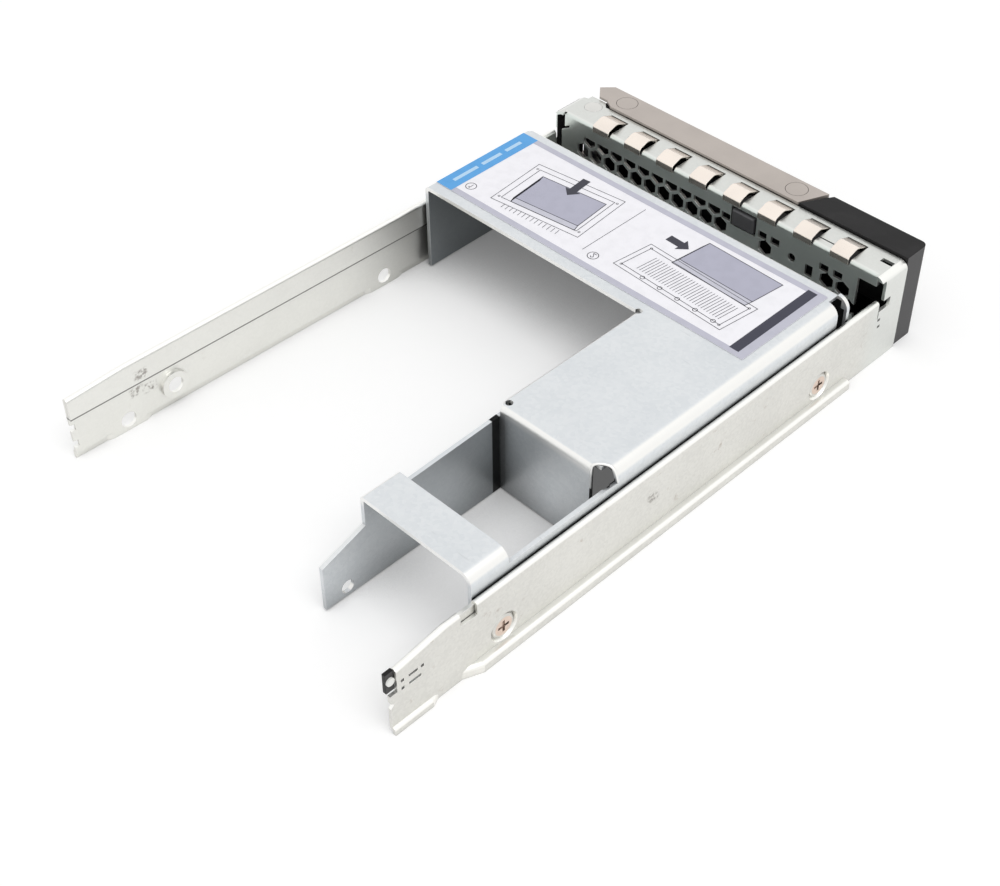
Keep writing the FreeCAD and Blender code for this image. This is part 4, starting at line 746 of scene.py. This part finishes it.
# Dark sheet behind the handle's vents, and a dark sheet in the far front corner that stands in for shade
# there (painted shade)
def upright_sheet(name, outline, heights, body):
    """Thin upright piece: a closed outline of x, y points, raised between two heights."""
    count = len(outline)
    corners = [(x, y, z) for z in heights for x, y in outline]
    faces = [tuple(reversed(range(count))), tuple(range(count, 2 * count))]
    faces += [(k, (k + 1) % count, (k + 1) % count + count, k + count) for k in range(count)]
    piece = mesh_piece(name, corners, faces, insert_and_shade_sheet_plastic)
    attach(piece, body)


upright_sheet("vent_insert", box_outline(*VENT_INSERT), VENT_INSERT_HEIGHT, "handle")
# Dark sheet in the far front corner, standing in for shade there
upright_sheet("corner_shade_sheet", CORNER_SHADE_SHEET, CORNER_SHADE_SHEET_HEIGHT, "tray")

# Rolled rim of the relief: a round wire along a smooth path
rim = bpy.data.curves.new("relief_rim", "CURVE")
rim.dimensions = "3D"
rim.bevel_depth = RIM_RADIUS * MM
rim.bevel_resolution = 3
rim.use_fill_caps = True
path = rim.splines.new("NURBS")
path.points.add(len(RIM_PATH) - 1)
for point, place in zip(path.points, RIM_PATH):
    point.co = (*(Vector(place) * MM), 1.0)
path.order_u = 3
path.use_endpoint_u = True
rim.materials.append(finishes["adapter_steel"])
relief_rim = placed("relief_rim", rim)
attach(relief_rim, "tray")


# Floor, world and light
def paper():
    """White paper with painted shade that darkens it close to the object, and a glow where it is seen
    straight or through a piece.
    """
    material = bpy.data.materials.new("paper")
    material.use_nodes = True
    material.node_tree.nodes.clear()
    tree = Tree(material.node_tree)
    # Painted shade on the floor close to the object
    shade = tree.ramp(tree.openness(FLOOR_SHADE_REACH, samples=12), 0.05, 0.6, start=FLOOR_SHADE)
    diffuse = tree.add("ShaderNodeBsdfDiffuse")
    tree.put(tree.product(shade, FLOOR_TONE), diffuse.inputs["Color"])
    glow = tree.add("ShaderNodeEmission")
    tree.put(linear(WHITE), glow.inputs["Color"])
    seen = tree.is_ray("Camera", "Glossy", "Transmission")
    tree.put(tree.product(shade, FLOOR_GLOW, seen), glow.inputs["Strength"])
    both = tree.add("ShaderNodeAddShader")
    tree.put_all((diffuse.outputs[0], glow.outputs[0]), both)
    tree.put(both.outputs[0], tree.add("ShaderNodeOutputMaterial").inputs["Surface"])
    return material


floor_outline = box_outline(-FLOOR_HALF_SIZE, FLOOR_HALF_SIZE, -FLOOR_HALF_SIZE, FLOOR_HALF_SIZE)
floor = mesh_piece("floor", [(x, y, 0) for x, y in floor_outline], [(0, 1, 2, 3)], paper())

world = bpy.data.worlds.new("studio")
bpy.context.scene.world = world
world.use_nodes = True
sky = Tree(world.node_tree)
background = world.node_tree.nodes["Background"]
sky.put(linear(WHITE), background.inputs["Color"])
sky.put(sky.ramp(sky.is_ray("Camera", "Glossy"), 0.0, 1.0, start=WORLD_LEVEL), background.inputs["Strength"])

softbox = bpy.data.lights.new("key", "AREA")
softbox.size = SOFTBOX_SIZE
softbox.energy = SOFTBOX_WATTS
key = placed("key", softbox)
key.location = SOFTBOX_PLACE
key.rotation_euler = (SOFTBOX_TARGET - SOFTBOX_PLACE).to_track_quat("-Z", "Y").to_euler()

# Camera at the photograph's place
camera_data = bpy.data.cameras.new("camera")
camera_data.sensor_fit = "HORIZONTAL"
camera_data.sensor_width = SENSOR_WIDTH
camera_data.lens = LENS
camera = placed("camera", camera_data)
turn = Matrix((CAMERA_RIGHT, CAMERA_UP, CAMERA_BACK)).transposed()
camera.matrix_world = Matrix.Translation(CAMERA_PLACE) @ turn.to_4x4()
bpy.context.scene.camera = camera
bpy.context.scene.view_settings.view_transform = "Standard"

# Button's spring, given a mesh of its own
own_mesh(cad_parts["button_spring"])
